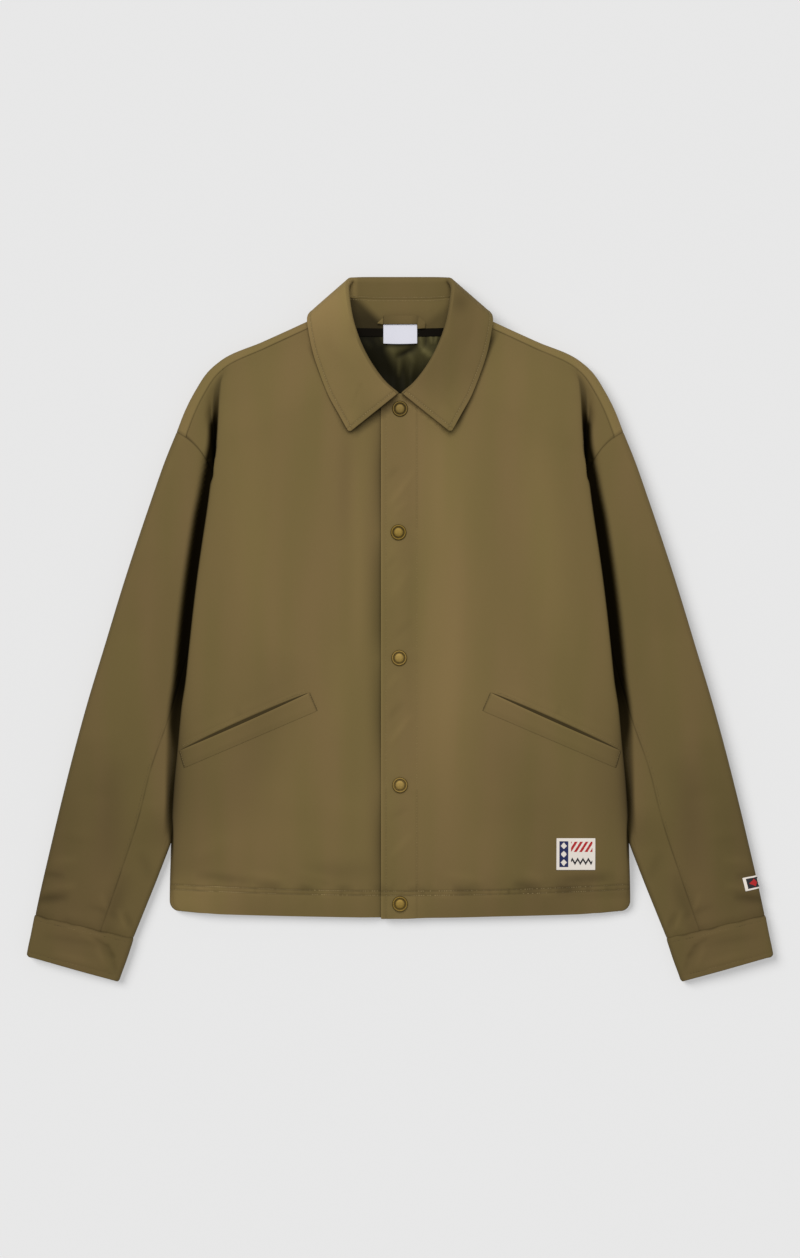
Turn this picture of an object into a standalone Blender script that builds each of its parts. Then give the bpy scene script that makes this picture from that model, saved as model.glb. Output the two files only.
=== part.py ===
"""Olive shirt jacket, laid flat on its back on a surface at z = 0.

Sizes are in millimetres and are turned into metres when a mesh is made.
+X is the wearer's left, +Y runs towards the collar, +Z is up off the surface.
The two halves share one set of tables: a half is described with x > 0 and
mirrored for the other side.
"""
import math

import bmesh
import bpy
import numpy as np

MM = 0.001

# ---------------------------------------------------------------- main sizes
CLOTH = 1.6            # wall of single cloth
LEAF = 2.0             # wall of the doubled collar
CUFF = 2.2             # wall of the doubled cuffs
WELT = 1.8             # wall of the pocket welts
TRIM = 1.0             # tape, labels, lining, loop
SEAM_GAP = 0.3         # space between two pieces at a seam
LAY_GAP = 0.45         # space between a piece and the panel it lies on
REST_Z = CLOTH / 2     # middle of a wall that lies on the surface

PLACKET_HALF = 20.8    # overlap of the fronts past the centre line
PLACKET_STEP = 2.3     # how far the underlap lies below the overlap
HEM_Y = -324.3         # hem at the centre front
FOLD_R = 4.5           # roll of the front's side fold
TUCK_R = 3.6           # roll at the bottom of the side tuck
SHOULDER_ROLL = 11.5   # reach of the shoulder roll, seam to outline
SHOULDER_HALF_Z = 9.3  # half height of the shoulder roll
SIDE_SEAM_Z = 5.2      # height of the side seam in the tuck
VALLEY_Z = 9.6         # top layer of the sleeve under the tuck

SNAP_D = 17.0
SNAP_YS = (247.0, 108.1, -32.5, -174.2, -308.6)

# ---------------------------------------------------------------- tables
def table(names, rows):
    """Named columns of a short table."""
    data = np.array(rows, float)
    return {n: data[:, i] for i, n in enumerate(names.split())}


def spline(xs, ys):
    """Smooth curve through (xs, ys) that never overshoots."""
    xs, ys = np.asarray(xs, float), np.asarray(ys, float)
    h = np.diff(xs)
    d = np.diff(ys) / h
    m = np.zeros(len(ys))
    m[0], m[-1] = d[0], d[-1]
    for i in range(1, len(ys) - 1):
        if d[i - 1] * d[i] > 0:
            m[i] = 2 * d[i - 1] * d[i] / (d[i - 1] + d[i])

    def at(x):
        x = np.clip(np.asarray(x, float), xs[0], xs[-1])
        i = np.clip(np.searchsorted(xs, x, side="right") - 1, 0, len(h) - 1)
        t = (x - xs[i]) / h[i]
        return (ys[i] * (1 + 2 * t) * (1 - t) ** 2 + h[i] * m[i] * t * (1 - t) ** 2
                + ys[i + 1] * t * t * (3 - 2 * t) - h[i] * m[i + 1] * t * t * (1 - t))
    return at


def ease(a, b, x):
    t = np.clip((np.asarray(x, float) - a) / (b - a), 0, 1)
    return t * t * (3 - 2 * t)


# side fold of the fronts: half width and how deep the cloth is tucked in under it
BODY = table("y edge tuck", [
    (-324.3, 249.0, 0), (-319, 254.8, 0), (-311, 257.4, 0), (-285, 257.0, 0),
    (-240, 254.8, 1), (-200, 253.2, 11.5), (-170, 251.6, 20), (-130, 248.2, 30),
    (-88, 243.6, 38), (-59, 239.4, 42), (-20, 235.6, 45), (20, 231.6, 45.6),
    (60, 226.6, 40.6), (88, 222.8, 33.8), (140, 215.0, 17), (170, 210.2, 2.2),
    (192, 206.6, 0), (222, 203.9, 0), (255, 202.0, 0), (275, 200.2, 0), (290.6, 195.5, 0)])
edge_at = spline(BODY["y"], BODY["edge"])
tuck_at = spline(BODY["y"], BODY["tuck"])

# height of the front along the centre
LOFT = table("y z", [(-324.3, 9.5), (-300, 13.2), (-240, 19.0), (-150, 25.5),
                     (0, 31.0), (150, 34.0), (260, 35.0), (345, 33.0)])
loft_at = spline(LOFT["y"], LOFT["z"])

# armhole seam in plan, from the outline of the shoulder to the underarm
ARMHOLE = table("x y", [(249.5, 221), (239.9, 214.65), (231, 207.5), (223, 198.5), (217, 189),
                        (208, 170), (198, 140), (189, 88), (187, 60), (188.8, 20)])

# outline of the shoulder and sleeve head, from the armhole to the neck
SHOULDER = table("x y", [(249.5, 221), (240.2, 244.7), (229, 267), (214.5, 289.5), (201, 300.7),
                         (152.9, 323), (110, 342.5), (89, 352)])
NECK_BACK = table("x y", [(45, 337.8), (0, 334)])

# sleeve stations: outer edge, inner edge, half height of the outer roll, crown
SLEEVE = table("ox oy ix iy half crown reach", [
    (249.5, 221, 188.8, 20, 9.3, 20.0, 11.5), (262.6, 188.7, 190.2, 11, 9.2, 21.5, 11),
    (278.3, 144, 192.2, 1, 9.0, 22.8, 10.5), (306, 61, 196.4, -24, 8.6, 23.6, 10),
    (332, -24, 204, -65, 8.3, 23.6, 9.5), (349, -80, 218.5, -117, 8.0, 22.8, 9),
    (364.6, -136, 237, -165, 7.6, 21.4, 8.5), (379, -192, 253.3, -218, 7.2, 19.6, 8),
    (392.6, -248, 270.3, -274, 6.6, 17.4, 7), (402, -292, 286.2, -314, 6.0, 15.2, 6.5),
    (407.8, -321.3, 299.3, -347.4, 5.6, 13.2, 6)])
INNER_REACH, INNER_HALF = 5.0, 4.4

# cuff stations
CUFFS = table("ox oy ix iy half crown reach", [
    (408.4, -321.7, 298.8, -347.8, 5.9, 13.4, 6), (412.4, -343, 305.2, -369.5, 5.7, 12.8, 6),
    (415.9, -360.5, 311.6, -387.4, 5.5, 12.4, 6), (413.6, -367.2, 317.4, -394.4, 5.4, 12.2, 6)])

# collar stations from centre back to centre front: roll line, outer edge, turn of
# the fold (0 = leaf under the band, 180 = leaf over it), half gap, width of the inner strip
COLLAR = table("rx ry rz ex ey ez turn gap strip", [
    (0, 394, 7.6, 0, 322, 1.4, 0, 5.6, 24), (26, 394, 7.7, 34, 322.5, 1.4, 0, 5.6, 24),
    (43, 393.8, 8.8, 66, 327, 1.4, 8, 5.4, 23.5), (51, 393.0, 11.6, 86, 337.5, 1.6, 38, 5, 23),
    (54.6, 391.6, 16.5, 98.6, 354.6, 6.6, 82, 4.4, 22), (56.6, 388.0, 22.5, 102.2, 352.0, 17, 118, 4, 20),
    (57.8, 381.4, 28.5, 103.2, 344.4, 24.5, 146, 3.6, 18), (56.6, 369, 33.2, 101.3, 331, 26.2, 166, 3.2, 16),
    (52, 347, 37.4, 96.6, 310, 27.0, 180, 2.9, 15), (43.2, 322, 39.4, 89.3, 287, 31.6, 180, 2.7, 14),
    (31, 298.2, 40.4, 79.8, 262, 36.6, 180, 2.6, 13), (16, 277.8, 40.8, 69.2, 242, 37.0, 180, 2.5, 12),
    (2.4, 265.4, 40.8, 58.8, 222.9, 37.0, 180, 2.4, 11)])

# seam of the collar band on the neck, one point for each collar station
NECK = table("x y", [(0, 331), (25, 332), (48, 335), (66, 339), (78, 343.5), (83.5, 345), (86.5, 341.5),
                     (87, 334), (82, 319), (73, 301), (59, 284), (41, 272.5), (18, 264.5)])

# pocket welt corners: outer top, inner top, inner bottom, outer bottom
WELT_CORNERS = ((244.6, -135.4), (100.8, -71.2), (92.2, -91.0), (240.6, -154.6))

# folds of the lining below the neck: place across, height, width
LINING_FOLDS = table("x height width", [(-58, 1.6, 15), (-31, 1.2, 11), (-9, 2.2, 12), (14, 1.3, 10), (38, 2.0, 15), (63, 1.2, 13)])

COLOURS = {
    "olive": ((0.168, 0.122, 0.050), 0.72, 0.0),
    "olive_dark": ((0.130, 0.094, 0.036), 0.72, 0.0),
    "lining": ((0.030, 0.024, 0.011), 0.42, 0.0),
    "tape": ((0.011, 0.009, 0.006), 0.80, 0.0),
    "brass": ((0.330, 0.225, 0.075), 0.34, 1.0),
    "label_white": ((0.72, 0.72, 0.78), 0.70, 0.0),
    "label_cream": ((0.70, 0.64, 0.55), 0.78, 0.0),
}


# ---------------------------------------------------------------- heights
def shoulder_gap(x, y):
    """Distance of a plan point below the shoulder seam."""
    return ((343.0 - 0.458 * (x - 84.3)) - y) * 0.909


def front_z(x, y):
    """Middle of the front's wall above the surface (x is the half width)."""
    ax = np.abs(x)
    z = loft_at(y)
    top = REST_Z + 2 * SHOULDER_HALF_Z
    z = top + (z - top) * np.where(y > 150, ease(0, 78, shoulder_gap(ax, y)), 1.0)
    near = 1 - ease(0, 30, edge_at(y) - ax)
    return z - 2.4 * near * np.where(y > 235, ease(290, 235, y), 1.0)


def back_z(x, y):
    lift = 8.4 * ease(278, 324, y) * (1 - ease(84, 126, np.abs(x)))
    return REST_Z + lift


def sleeve_top(x, y, q, half, crown):
    """Top layer of a sleeve: q runs from the outer roll (0) to the inner one (1)."""
    outer = REST_Z + 2 * half
    high = outer + (crown - outer) * ease(0, 0.34, q)
    inner = REST_Z + 2 * INNER_HALF
    tucked = VALLEY_Z + (high - VALLEY_Z) * ease(2, 17, x - edge_at(y))
    free = inner + (high - inner) * (1 - ease(0.42, 1, q))
    k = ease(-250, -195, y)
    return free + (tucked - free) * k


# ---------------------------------------------------------------- mesh helpers
def material(name):
    if name in bpy.data.materials:
        return bpy.data.materials[name]
    colour, rough, metal = COLOURS[name]
    mat = bpy.data.materials.new(name)
    mat.use_nodes = True
    shader = mat.node_tree.nodes["Principled BSDF"]
    shader.inputs["Base Color"].default_value = (*colour, 1)
    shader.inputs["Roughness"].default_value = rough
    shader.inputs["Metallic"].default_value = metal
    mat.diffuse_color = (*colour, 1)
    return mat


def sheet(name, grid, wall, mat, keep=None, ring=False, flip=False, inset=(0, 0, 0, 0)):
    """A cloth piece: a grid of points (rows, columns, xyz) given a wall.

    keep marks the quads that exist, ring closes the columns, flip turns the faces
    over and inset pulls the edges (first row, last row, first column, last column)
    back by a length along the cloth.
    """
    g = np.array(grid, float)
    for k, (first, second) in enumerate(((0, 1), (-1, -2))):
        for axis, amount in ((0, inset[k]), (1, inset[2 + k])):
            if amount:
                line = np.moveaxis(g, axis, 0)
                step = line[second] - line[first]
                size = np.maximum(np.linalg.norm(step, axis=1, keepdims=True), 1e-6)
                line[first] += step * np.minimum(amount / size, 0.4)
    rows, cols = g.shape[:2]
    bm = bmesh.new()
    verts = {}

    def vert(r, c):
        if (r, c) not in verts:
            verts[r, c] = bm.verts.new(tuple(g[r, c] * MM))
        return verts[r, c]

    for r in range(rows - 1):
        for c in range(cols if ring else cols - 1):
            if keep is not None and not keep[r][c]:
                continue
            c2 = (c + 1) % cols
            quad = [vert(r, c), vert(r, c2), vert(r + 1, c2), vert(r + 1, c)]
            bm.faces.new(quad[::-1] if flip else quad)
    mesh = bpy.data.meshes.new(name)
    bm.to_mesh(mesh)
    bm.free()
    mesh.shade_smooth()
    obj = bpy.data.objects.new(name, mesh)
    bpy.context.scene.collection.objects.link(obj)
    obj.data.materials.append(material(mat))
    solid = obj.modifiers.new("wall", "SOLIDIFY")
    solid.thickness = wall * MM
    solid.offset = 0.0
    solid.use_even_offset = True
    solid.use_quality_normals = True
    return obj


def mirrored(grid, side):
    g = np.array(grid, float)
    g[..., 0] *= side
    return g


# ---------------------------------------------------------------- shoulder and armhole
def shoulder_normals():
    """Inward direction in plan at each point of the shoulder outline."""
    p = np.stack([SHOULDER["x"], SHOULDER["y"]], 1)
    out = []
    for i in range(len(p)):
        t = p[min(i + 1, len(p) - 1)] - p[max(i - 1, 0)]
        n = np.array([-t[1], t[0]])
        out.append(n / np.linalg.norm(n))
    first = np.array([ARMHOLE["x"][1] - ARMHOLE["x"][0], ARMHOLE["y"][1] - ARMHOLE["y"][0]])
    out[0] = first / np.linalg.norm(first)
    return p, np.array(out)


OUTLINE, INWARD = shoulder_normals()
SEAM = OUTLINE + INWARD * SHOULDER_ROLL        # shoulder seam in plan, armhole to neck
ARM = np.stack([ARMHOLE["x"], ARMHOLE["y"]], 1)
ARM_LEN = np.concatenate([[0], np.cumsum(np.linalg.norm(np.diff(ARM, axis=0), axis=1))])


def arm_point(length):
    """Point on the armhole seam at a length from the shoulder outline."""
    return np.array([np.interp(length, ARM_LEN, ARM[:, 0]), np.interp(length, ARM_LEN, ARM[:, 1])])


KNOT_Q = (ARM_LEN - SHOULDER_ROLL) / (ARM_LEN[-1] - SHOULDER_ROLL - INNER_REACH)


def seam_height(k):
    """Height of the armhole seam's upper side at knot k."""
    if k == len(ARM) - 1:
        return SIDE_SEAM_Z
    return float(sleeve_top(ARM[k, 0], ARM[k, 1], KNOT_Q[k], SLEEVE["half"][0], SLEEVE["crown"][0]))


# ---------------------------------------------------------------- fronts
SIDE_ROWS = [-324.3, -318, -309, -280, -240, -200, -165, -125, -75, -20, 20]
PLACKET_COLS = (-PLACKET_HALF, 0.0, 24.0, 44.0)
REST_COLS = (0.3, 0.62, 0.88, 1.0)
FRONT_COLS = len(PLACKET_COLS) + len(REST_COLS)
# rows that fan out from the shoulder: height on the fold, inner end, armhole knot
FAN_ROWS = [(192, -PLACKET_HALF, 192, 4.0), (208, -PLACKET_HALF, 230, 3.5), (224, -PLACKET_HALF, 262, 3.0),
            (241, 22, 269.5, 2.5), (257, 52, 284, 2.0), (274, 73, 310, 1.5), (290.6, SEAM[7][0], SEAM[7][1], 1.0)]
VALLEY_SHARE = (1.0, 1.0, 1.0, 0.97, 0.8, 0.4, 0.0)
FLAP_STEPS = 8


def lip_path(edge, top, tuck, end):
    """Section of the side fold: round the edge, in under it, then down to the seam."""
    k = min(max(tuck / 16.0, 0.0), 1.0)
    plain = []
    for i in range(1, FLAP_STEPS + 1):
        a = math.pi / 2 * i / FLAP_STEPS
        plain.append((edge - FOLD_R + FOLD_R * math.sin(a), end + (top - end) * math.cos(a)))
    if k < 0.02:
        return plain
    turn = math.pi / 2 * k
    pts = []
    for i in range(1, 4):
        a = math.pi / 2 - (math.pi / 2 + turn) * i / 3
        pts.append((edge - FOLD_R + FOLD_R * math.cos(a), top - FOLD_R + FOLD_R * math.sin(a)))
    x, z = pts[-1]
    shift = TUCK_R * (1 - math.cos(turn))
    run = max((x - shift - (edge - tuck)) / math.sin(turn), 0.6)
    room = z - end - TUCK_R * math.sin(turn) - 0.8
    if run * math.cos(turn) > room:
        run = max(room, 0.6) / math.cos(turn)
    pts.append((x - run / 2 * math.sin(turn), z - run / 2 * math.cos(turn)))
    x, z = x - run * math.sin(turn), z - run * math.cos(turn)
    pts.append((x, z))
    for i in (1, 2):
        a = turn * (1 - i / 2)
        pts.append((x - TUCK_R * (math.cos(a) - math.cos(turn)), z - TUCK_R * (math.sin(turn) - math.sin(a))))
    pts.append((edge - tuck, end))
    w = min(1.0, k / 0.5)
    return [(p[0] * w + q[0] * (1 - w), p[1] * w + q[1] * (1 - w)) for p, q in zip(pts, plain)]


def across(inner, outer):
    """Shares of the way from the inner end of a row to its fold."""
    wide = outer - inner
    if inner < 0:
        near = [(x - inner) / wide for x in PLACKET_COLS]
    else:
        near = [0.0, 0.06, 0.13, 0.2]
    return near + [near[-1] + (1 - near[-1]) * u for u in REST_COLS]


def hem_rise(x):
    """The hem runs up a little towards the sides."""
    return 5.2 * (np.abs(x) / 250.0) ** 2


def front_half(under):
    """Grid of one front, in its own half (x > 0 towards its side)."""
    rows = []

    def height(x, y):
        z = front_z(x, y)
        if under:
            z = z - PLACKET_STEP * (1 - ease(24, 42, x))
        return z

    for y in SIDE_ROWS:
        e, t = float(edge_at(y)), float(tuck_at(y))
        start = e - FOLD_R
        row = []
        for u in across(-PLACKET_HALF, start):
            x = -PLACKET_HALF + (start + PLACKET_HALF) * u
            up = hem_rise(x) * (1 - ease(HEM_Y, HEM_Y + 70, y))
            row.append((x, y + up, float(height(x, y))))
        top = row[-1][2]
        up = hem_rise(e) * (1 - ease(HEM_Y, HEM_Y + 70, y))
        for x, z in lip_path(e, top, t, SIDE_SEAM_Z + SEAM_GAP / 2):
            row.append((x, y + up, z))
        rows.append(row)
    for k in range(len(ARM) - 2, 4, -1):
        y = ARM[k, 1]
        e = float(edge_at(y))
        row = []
        for u in across(-PLACKET_HALF, e - FOLD_R):
            x = -PLACKET_HALF + (e - FOLD_R + PLACKET_HALF) * u
            row.append((x, y, float(height(x, y))))
        for x, z in lip_path(e, row[-1][2], e - ARM[k, 0] + CLOTH, seam_height(k) + CLOTH / 2 + SEAM_GAP + 0.2):
            row.append((x, y, z))
        rows.append(row)
    for j, (fold_y, in_x, in_y, knot) in enumerate(FAN_ROWS):
        last = j == len(FAN_ROWS) - 1
        fold = SEAM[4] if last else np.array([float(edge_at(fold_y)), fold_y])
        k0 = int(math.floor(knot))
        f = knot - k0
        end = SEAM[0] if last else ARM[k0] * (1 - f) + ARM[min(k0 + 1, len(ARM) - 1)] * f
        end_z = seam_height(k0) * (1 - f) + seam_height(k0 + 1) * f
        back_off = FOLD_R * (1 - j / (len(FAN_ROWS) - 1))
        stop = fold - np.array([back_off, 0])
        row = []
        for u in across(in_x, stop[0]):
            p = np.array([in_x, in_y]) * (1 - u) + stop * u
            row.append((p[0], p[1], float(height(p[0], p[1]))))
        top = row[-1][2]
        if last:
            seam_pts = [(SEAM[4] + SEAM[3]) / 2, SEAM[3], (SEAM[3] + SEAM[2]) / 2, SEAM[2],
                        (SEAM[2] + SEAM[1]) / 2, SEAM[1], (SEAM[1] + SEAM[0]) / 2, SEAM[0]]
            for p in seam_pts:
                row.append((p[0], p[1], REST_Z + 2 * SHOULDER_HALF_Z))
        else:
            dip = VALLEY_SHARE[j]
            for i in range(1, FLAP_STEPS + 1):
                c = i / FLAP_STEPS
                p = stop * (1 - c) + end * c
                plain = top + (end_z - top) * ease(0, 0.6, c)
                low = np.interp(c, (0, 0.14, 0.30, 0.42, 0.56, 0.8, 1.0),
                                (top, top - 0.18 * (top - VALLEY_Z), top - 0.85 * (top - VALLEY_Z), VALLEY_Z,
                                 VALLEY_Z + 0.25 * (end_z - VALLEY_Z), VALLEY_Z + 0.86 * (end_z - VALLEY_Z), end_z))
                row.append((p[0], p[1], plain + (low - plain) * dip))
        rows.append(row)
    return np.array(rows)


def on_front(grid, x, y):
    """Height of a front's grid above a plan point, in the rows that run straight across."""
    n = len(SIDE_ROWS) + 4
    ys = grid[:n, 0, 1]
    j = int(np.clip(np.searchsorted(ys, y) - 1, 0, n - 2))
    f = (y - ys[j]) / (ys[j + 1] - ys[j])
    m = FRONT_COLS
    za = np.interp(x, grid[j, :m, 0], grid[j, :m, 2])
    zb = np.interp(x, grid[j + 1, :m, 0], grid[j + 1, :m, 2])
    return za * (1 - f) + zb * f


# ---------------------------------------------------------------- back
def back_grid():
    """Grid of the back: side seams turned up, shoulders rolled over to their seams."""
    top = np.concatenate([SEAM, np.stack([NECK_BACK["x"], NECK_BACK["y"]], 1)])
    share = np.concatenate([np.linspace(0, 0.66, len(SEAM)), np.array([0.83, 1.0])])
    left, turned = [], []
    for y in SIDE_ROWS:
        e, t = float(edge_at(y)), float(tuck_at(y))
        reach = min(FOLD_R - 0.4, SIDE_SEAM_Z - REST_Z)
        left.append((e - t - reach, y + hem_rise(e) * (1 - ease(HEM_Y, HEM_Y + 70, y))))
        turned.append(True)
    for k in range(len(ARM) - 2, 0, -1):
        underarm = k == len(ARM) - 2
        left.append((ARM[k, 0] - (2.2 if underarm else 0.0), ARM[k, 1]))
        turned.append(underarm)
    left = np.array(left)
    vs = (left[:, 1] - left[0, 1]) / (left[-1, 1] - left[0, 1])
    bottom = np.stack([left[0, 0] * (1 - share), HEM_Y + hem_rise(left[0, 0] * (1 - share))], 1)
    grid = []
    for j, v in enumerate(vs):
        row = []
        for i, s in enumerate(share):
            p = ((1 - v) * bottom[i] + v * top[i] + (1 - s) * left[j] + s * np.array([0.0, HEM_Y * (1 - v) + v * top[-1][1]])
                 - (1 - s) * ((1 - v) * bottom[0] + v * top[0]) - s * ((1 - v) * bottom[-1] + v * top[-1]))
            row.append((p[0], p[1], float(back_z(p[0], p[1]))))
        grid.append(row)
    half = np.array(grid)
    turn_cols = 2
    wide = []
    for j in range(len(half)):
        extra = []
        if turned[j]:
            x0, y0, z0 = half[j, 0]
            r = SIDE_SEAM_Z - REST_Z if j < len(SIDE_ROWS) else 0.7
            for i in range(turn_cols, 0, -1):
                a = math.pi / 2 * i / turn_cols
                extra.append((x0 + r * math.sin(a), y0, z0 + (r - SEAM_GAP / 2) * (1 - math.cos(a))))
        else:
            extra = [(half[j, 0, 0] + 0.5 * i, half[j, 0, 1], half[j, 0, 2]) for i in range(turn_cols, 0, -1)]
        wide.append(extra + [tuple(p) for p in half[j]])
    wide = np.array(wide)
    rim = []
    for phi in (-60, -30, 0, 30, 60, 90):
        a = math.radians(phi)
        row = [(0.0, 0.0, 0.0)] * turn_cols
        for i in range(len(SEAM)):
            p = OUTLINE[i] + INWARD[i] * SHOULDER_ROLL * (1 - math.cos(a))
            base = back_z(SEAM[i][0], SEAM[i][1])
            top_z = REST_Z + 2 * SHOULDER_HALF_Z
            row.append((p[0], p[1], base + (top_z - base) * (1 + math.sin(a)) / 2))
        row += [(0.0, 0.0, 0.0)] * len(NECK_BACK["x"])
        rim.append(row)
    full = np.concatenate([wide, np.array(rim)])
    n_main = len(wide)
    cols_half = wide.shape[1]
    other = full[:, ::-1].copy()
    other[..., 0] *= -1
    whole = np.concatenate([full, other[:, 1:]], axis=1)
    keep = []
    total = whole.shape[1]
    for r in range(len(whole) - 1):
        line = []
        for c in range(total - 1):
            cc = c if c < cols_half - 1 else total - 2 - c
            if r < n_main - 1:
                line.append(cc >= turn_cols or (turned[r] and turned[r + 1]))
            else:
                line.append(turn_cols <= cc < turn_cols + len(SEAM) - 1)
        keep.append(line)
    return whole, keep


# ---------------------------------------------------------------- sleeves and cuffs
ROLL_STEPS = (0, 30, 60)
VALLEY_Q = (0.76, 0.91, 0.955)   # extra columns where the sleeve dips under the front


def tube_station(o, i, half, crown, reach, along, bend, flat, tucked, q_list):
    """Ring of one station, top from outer to inner edge, then back along the bottom."""
    o, i = np.array(o, float), np.array(i, float)
    width = np.linalg.norm(i - o)
    ring_top, ring_bot = [], []
    spots = []
    for phi in ROLL_STEPS:
        a = math.radians(phi)
        spots.append((reach * (1 - math.cos(a)), math.sin(a), None))
    for q in q_list:
        spots.append((reach + (width - reach - INNER_REACH) * q, None, q))
    for phi in (45, 0):
        a = math.radians(phi)
        spots.append((width - INNER_REACH * (1 - math.cos(a)), math.sin(a), "inner"))
    for dist, rise, q in spots:
        p = along(dist, width, bend)
        if q is None:
            zt, zb = flat + half * (1 + rise), flat + half * (1 - rise)
        elif q == "inner":
            zt, zb = flat + INNER_HALF * (1 + rise), flat + INNER_HALF * (1 - rise)
        else:
            zt = float(tucked(p[0], p[1], q, half, crown))
            zb = flat
        ring_top.append((p[0], p[1], zt))
        ring_bot.append((p[0], p[1], zb))
    return ring_top, ring_bot


def sleeve_rings():
    """All stations of a sleeve as two arrays, top and bottom layers."""
    top, bottom = [], []
    qs = sorted([float(q) for q in KNOT_Q[1:-1]] + list(VALLEY_Q) + [1.0])
    chord = ARM[-1] - ARM[0]
    span = np.linalg.norm(chord)
    n = len(SLEEVE["ox"])
    for j in range(n):
        o = np.array([SLEEVE["ox"][j], SLEEVE["oy"][j]])
        i = np.array([SLEEVE["ix"][j], SLEEVE["iy"][j]])
        bend = max(0.0, 1 - j / 4.0) ** 1.5

        def along(dist, width, bend, o=o, i=i):
            t = dist / width
            straight = o + (i - o) * t
            length = ARM_LEN[-1] * t
            if bend > 0.999:
                return arm_point(length)
            swing = arm_point(length) - (ARM[0] + chord * t)
            return straight + swing * bend

        if j == 0:
            width_fix = ARM_LEN[-1]
            direction = (i - o) / span
            i = o + direction * width_fix
        t, b = tube_station(o, i, SLEEVE["half"][j], SLEEVE["crown"][j], SLEEVE["reach"][j], along, bend, REST_Z, sleeve_top, qs)
        top.append(t)
        bottom.append(b)
    return np.array(top), np.array(bottom)


SPLIT = len(ROLL_STEPS) + 6      # column of the sleeve seam (armhole knot 7)
UNDER_COLS = (SPLIT, SPLIT + 2, SPLIT + 5)   # columns of its lower layer


def sleeve_pieces():
    top, bottom = sleeve_rings()
    last = top.shape[1] - 1
    upper = np.concatenate([bottom[:, SPLIT:0:-1], top[:, :SPLIT + 1]], axis=1)
    low = [last - 1] + list(UNDER_COLS[::-1])
    under = np.concatenate([top[:, SPLIT:], bottom[:, low]], axis=1)
    return upper, under


def cuff_ring():
    flat = CUFF / 2
    rings = []
    for j in range(len(CUFFS["ox"])):
        o = np.array([CUFFS["ox"][j], CUFFS["oy"][j]])
        i = np.array([CUFFS["ix"][j], CUFFS["iy"][j]])

        def along(dist, width, bend, o=o, i=i):
            return o + (i - o) * dist / width

        def plain(x, y, q, half, crown):
            return flat + 2 * half + (crown - flat - 2 * half) * 4 * q * (1 - q) - (2 * half - 2 * INNER_HALF) * ease(0.5, 1, q)

        t, b = tube_station(o, i, CUFFS["half"][j], CUFFS["crown"][j], CUFFS["reach"][j], along, 0, flat, plain,
                            (0.0, 0.2, 0.5, 0.8, 1.0))
        rings.append(t + b[-2:0:-1])
    return np.array(rings)


# ---------------------------------------------------------------- collar
def collar_sections():
    """Leaf (outer edge to collar seam) and band (collar seam to neck seam)."""
    leaf, band = [], []
    for j in range(len(COLLAR["rx"])):
        c = {k: v[j] for k, v in COLLAR.items()}
        r = np.array([c["rx"], c["ry"], c["rz"]])
        lie = float(front_z(c["ex"], c["ey"])) + CLOTH / 2 + LAY_GAP + LEAF / 2 + 0.9 if j >= 8 else c["ez"]
        e = np.array([c["ex"], c["ey"], max(lie, c["ez"])])
        d = e - r
        length = np.linalg.norm(d)
        d = d / length
        inward = np.array([d[1], -d[0], 0.0])
        inward /= np.linalg.norm(inward)
        up = np.array([0, 0, 1.0]) - d * d[2]
        up /= np.linalg.norm(up)
        a = math.radians(c["turn"])
        w = math.cos(a) * up + math.sin(a) * inward
        g = c["gap"]
        centre = r + d * g
        row = []
        reach = length - g
        for f in (1.0, 0.66, 0.28):
            row.append(centre + d * reach * f - w * g * (1 - f) ** 0.8)
        for b in (-90, -40, 0, 40, 90):
            b = math.radians(b)
            row.append(centre - d * g * math.cos(b) + w * g * math.sin(b))
        seam = r + d * c["strip"] + w * g
        row.append((row[-1] + seam) / 2)
        row.append(seam)
        leaf.append(row)
        x, y = NECK["x"][j], NECK["y"][j]
        if j <= 5:
            base = float(back_z(x, y))
            z = max(base + CLOTH + LAY_GAP, float(np.interp(j, (3, 5), (0, 17.5))) + 4.0 if j > 3 else 0)
        else:
            z = float(front_z(x, y)) + CLOTH + LAY_GAP + 0.9
        neck = np.array([x, y, z])
        start = seam + (neck - seam) / np.linalg.norm(neck - seam) * SEAM_GAP
        band.append([start, start * 0.6 + neck * 0.4, neck])
    return np.array(leaf), np.array(band)


def both_sides(half):
    """Stations of both halves in one run, wearer's right front to left front."""
    other = half[::-1].copy()
    other[..., 0] *= -1
    return np.concatenate([other[:-1], half])


# ---------------------------------------------------------------- things on the panels
def welt_grid(front):
    (ax, ay), (bx, by), (cx, cy), (dx, dy) = WELT_CORNERS
    rows = []
    for v in (0.0, 0.5, 1.0):
        row = []
        for u in np.linspace(0, 1, 8):
            x = (ax * (1 - u) + bx * u) * (1 - v) + (dx * (1 - u) + cx * u) * v
            y = (ay * (1 - u) + by * u) * (1 - v) + (dy * (1 - u) + cy * u) * v
            row.append((x, y, on_front(front, x, y) + CLOTH / 2 + LAY_GAP + 0.2 + WELT / 2))
        rows.append(row)
    return np.array(rows)


def panel_patch(front, x0, x1, y0, y1, lift, nx, ny):
    """Rectangle lying on a front."""
    rows = []
    for y in np.linspace(y0, y1, ny):
        rows.append([(x, y, on_front(front, x, y) + lift) for x in np.linspace(x0, x1, nx)])
    return np.array(rows)


def badge_grid():
    """Small badge round the outer roll of the sleeve, above the cuff."""
    top, _ = sleeve_rings()
    a, b = top[8], top[9]
    rows = []
    for f in (0.5, 0.7, 0.9):
        line = (a * (1 - f) + b * f)[:7]
        step = b[:7] - a[:7]
        row = []
        for i in range(1, 6):
            t = line[i + 1] - line[i - 1]
            n = np.cross(step[i], t)
            n /= np.linalg.norm(n)
            if n[2] < 0:
                n = -n
            row.append(line[i] + n * (CLOTH / 2 + LAY_GAP + TRIM / 2))
        rows.append(row)
    return np.array(rows)


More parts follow.
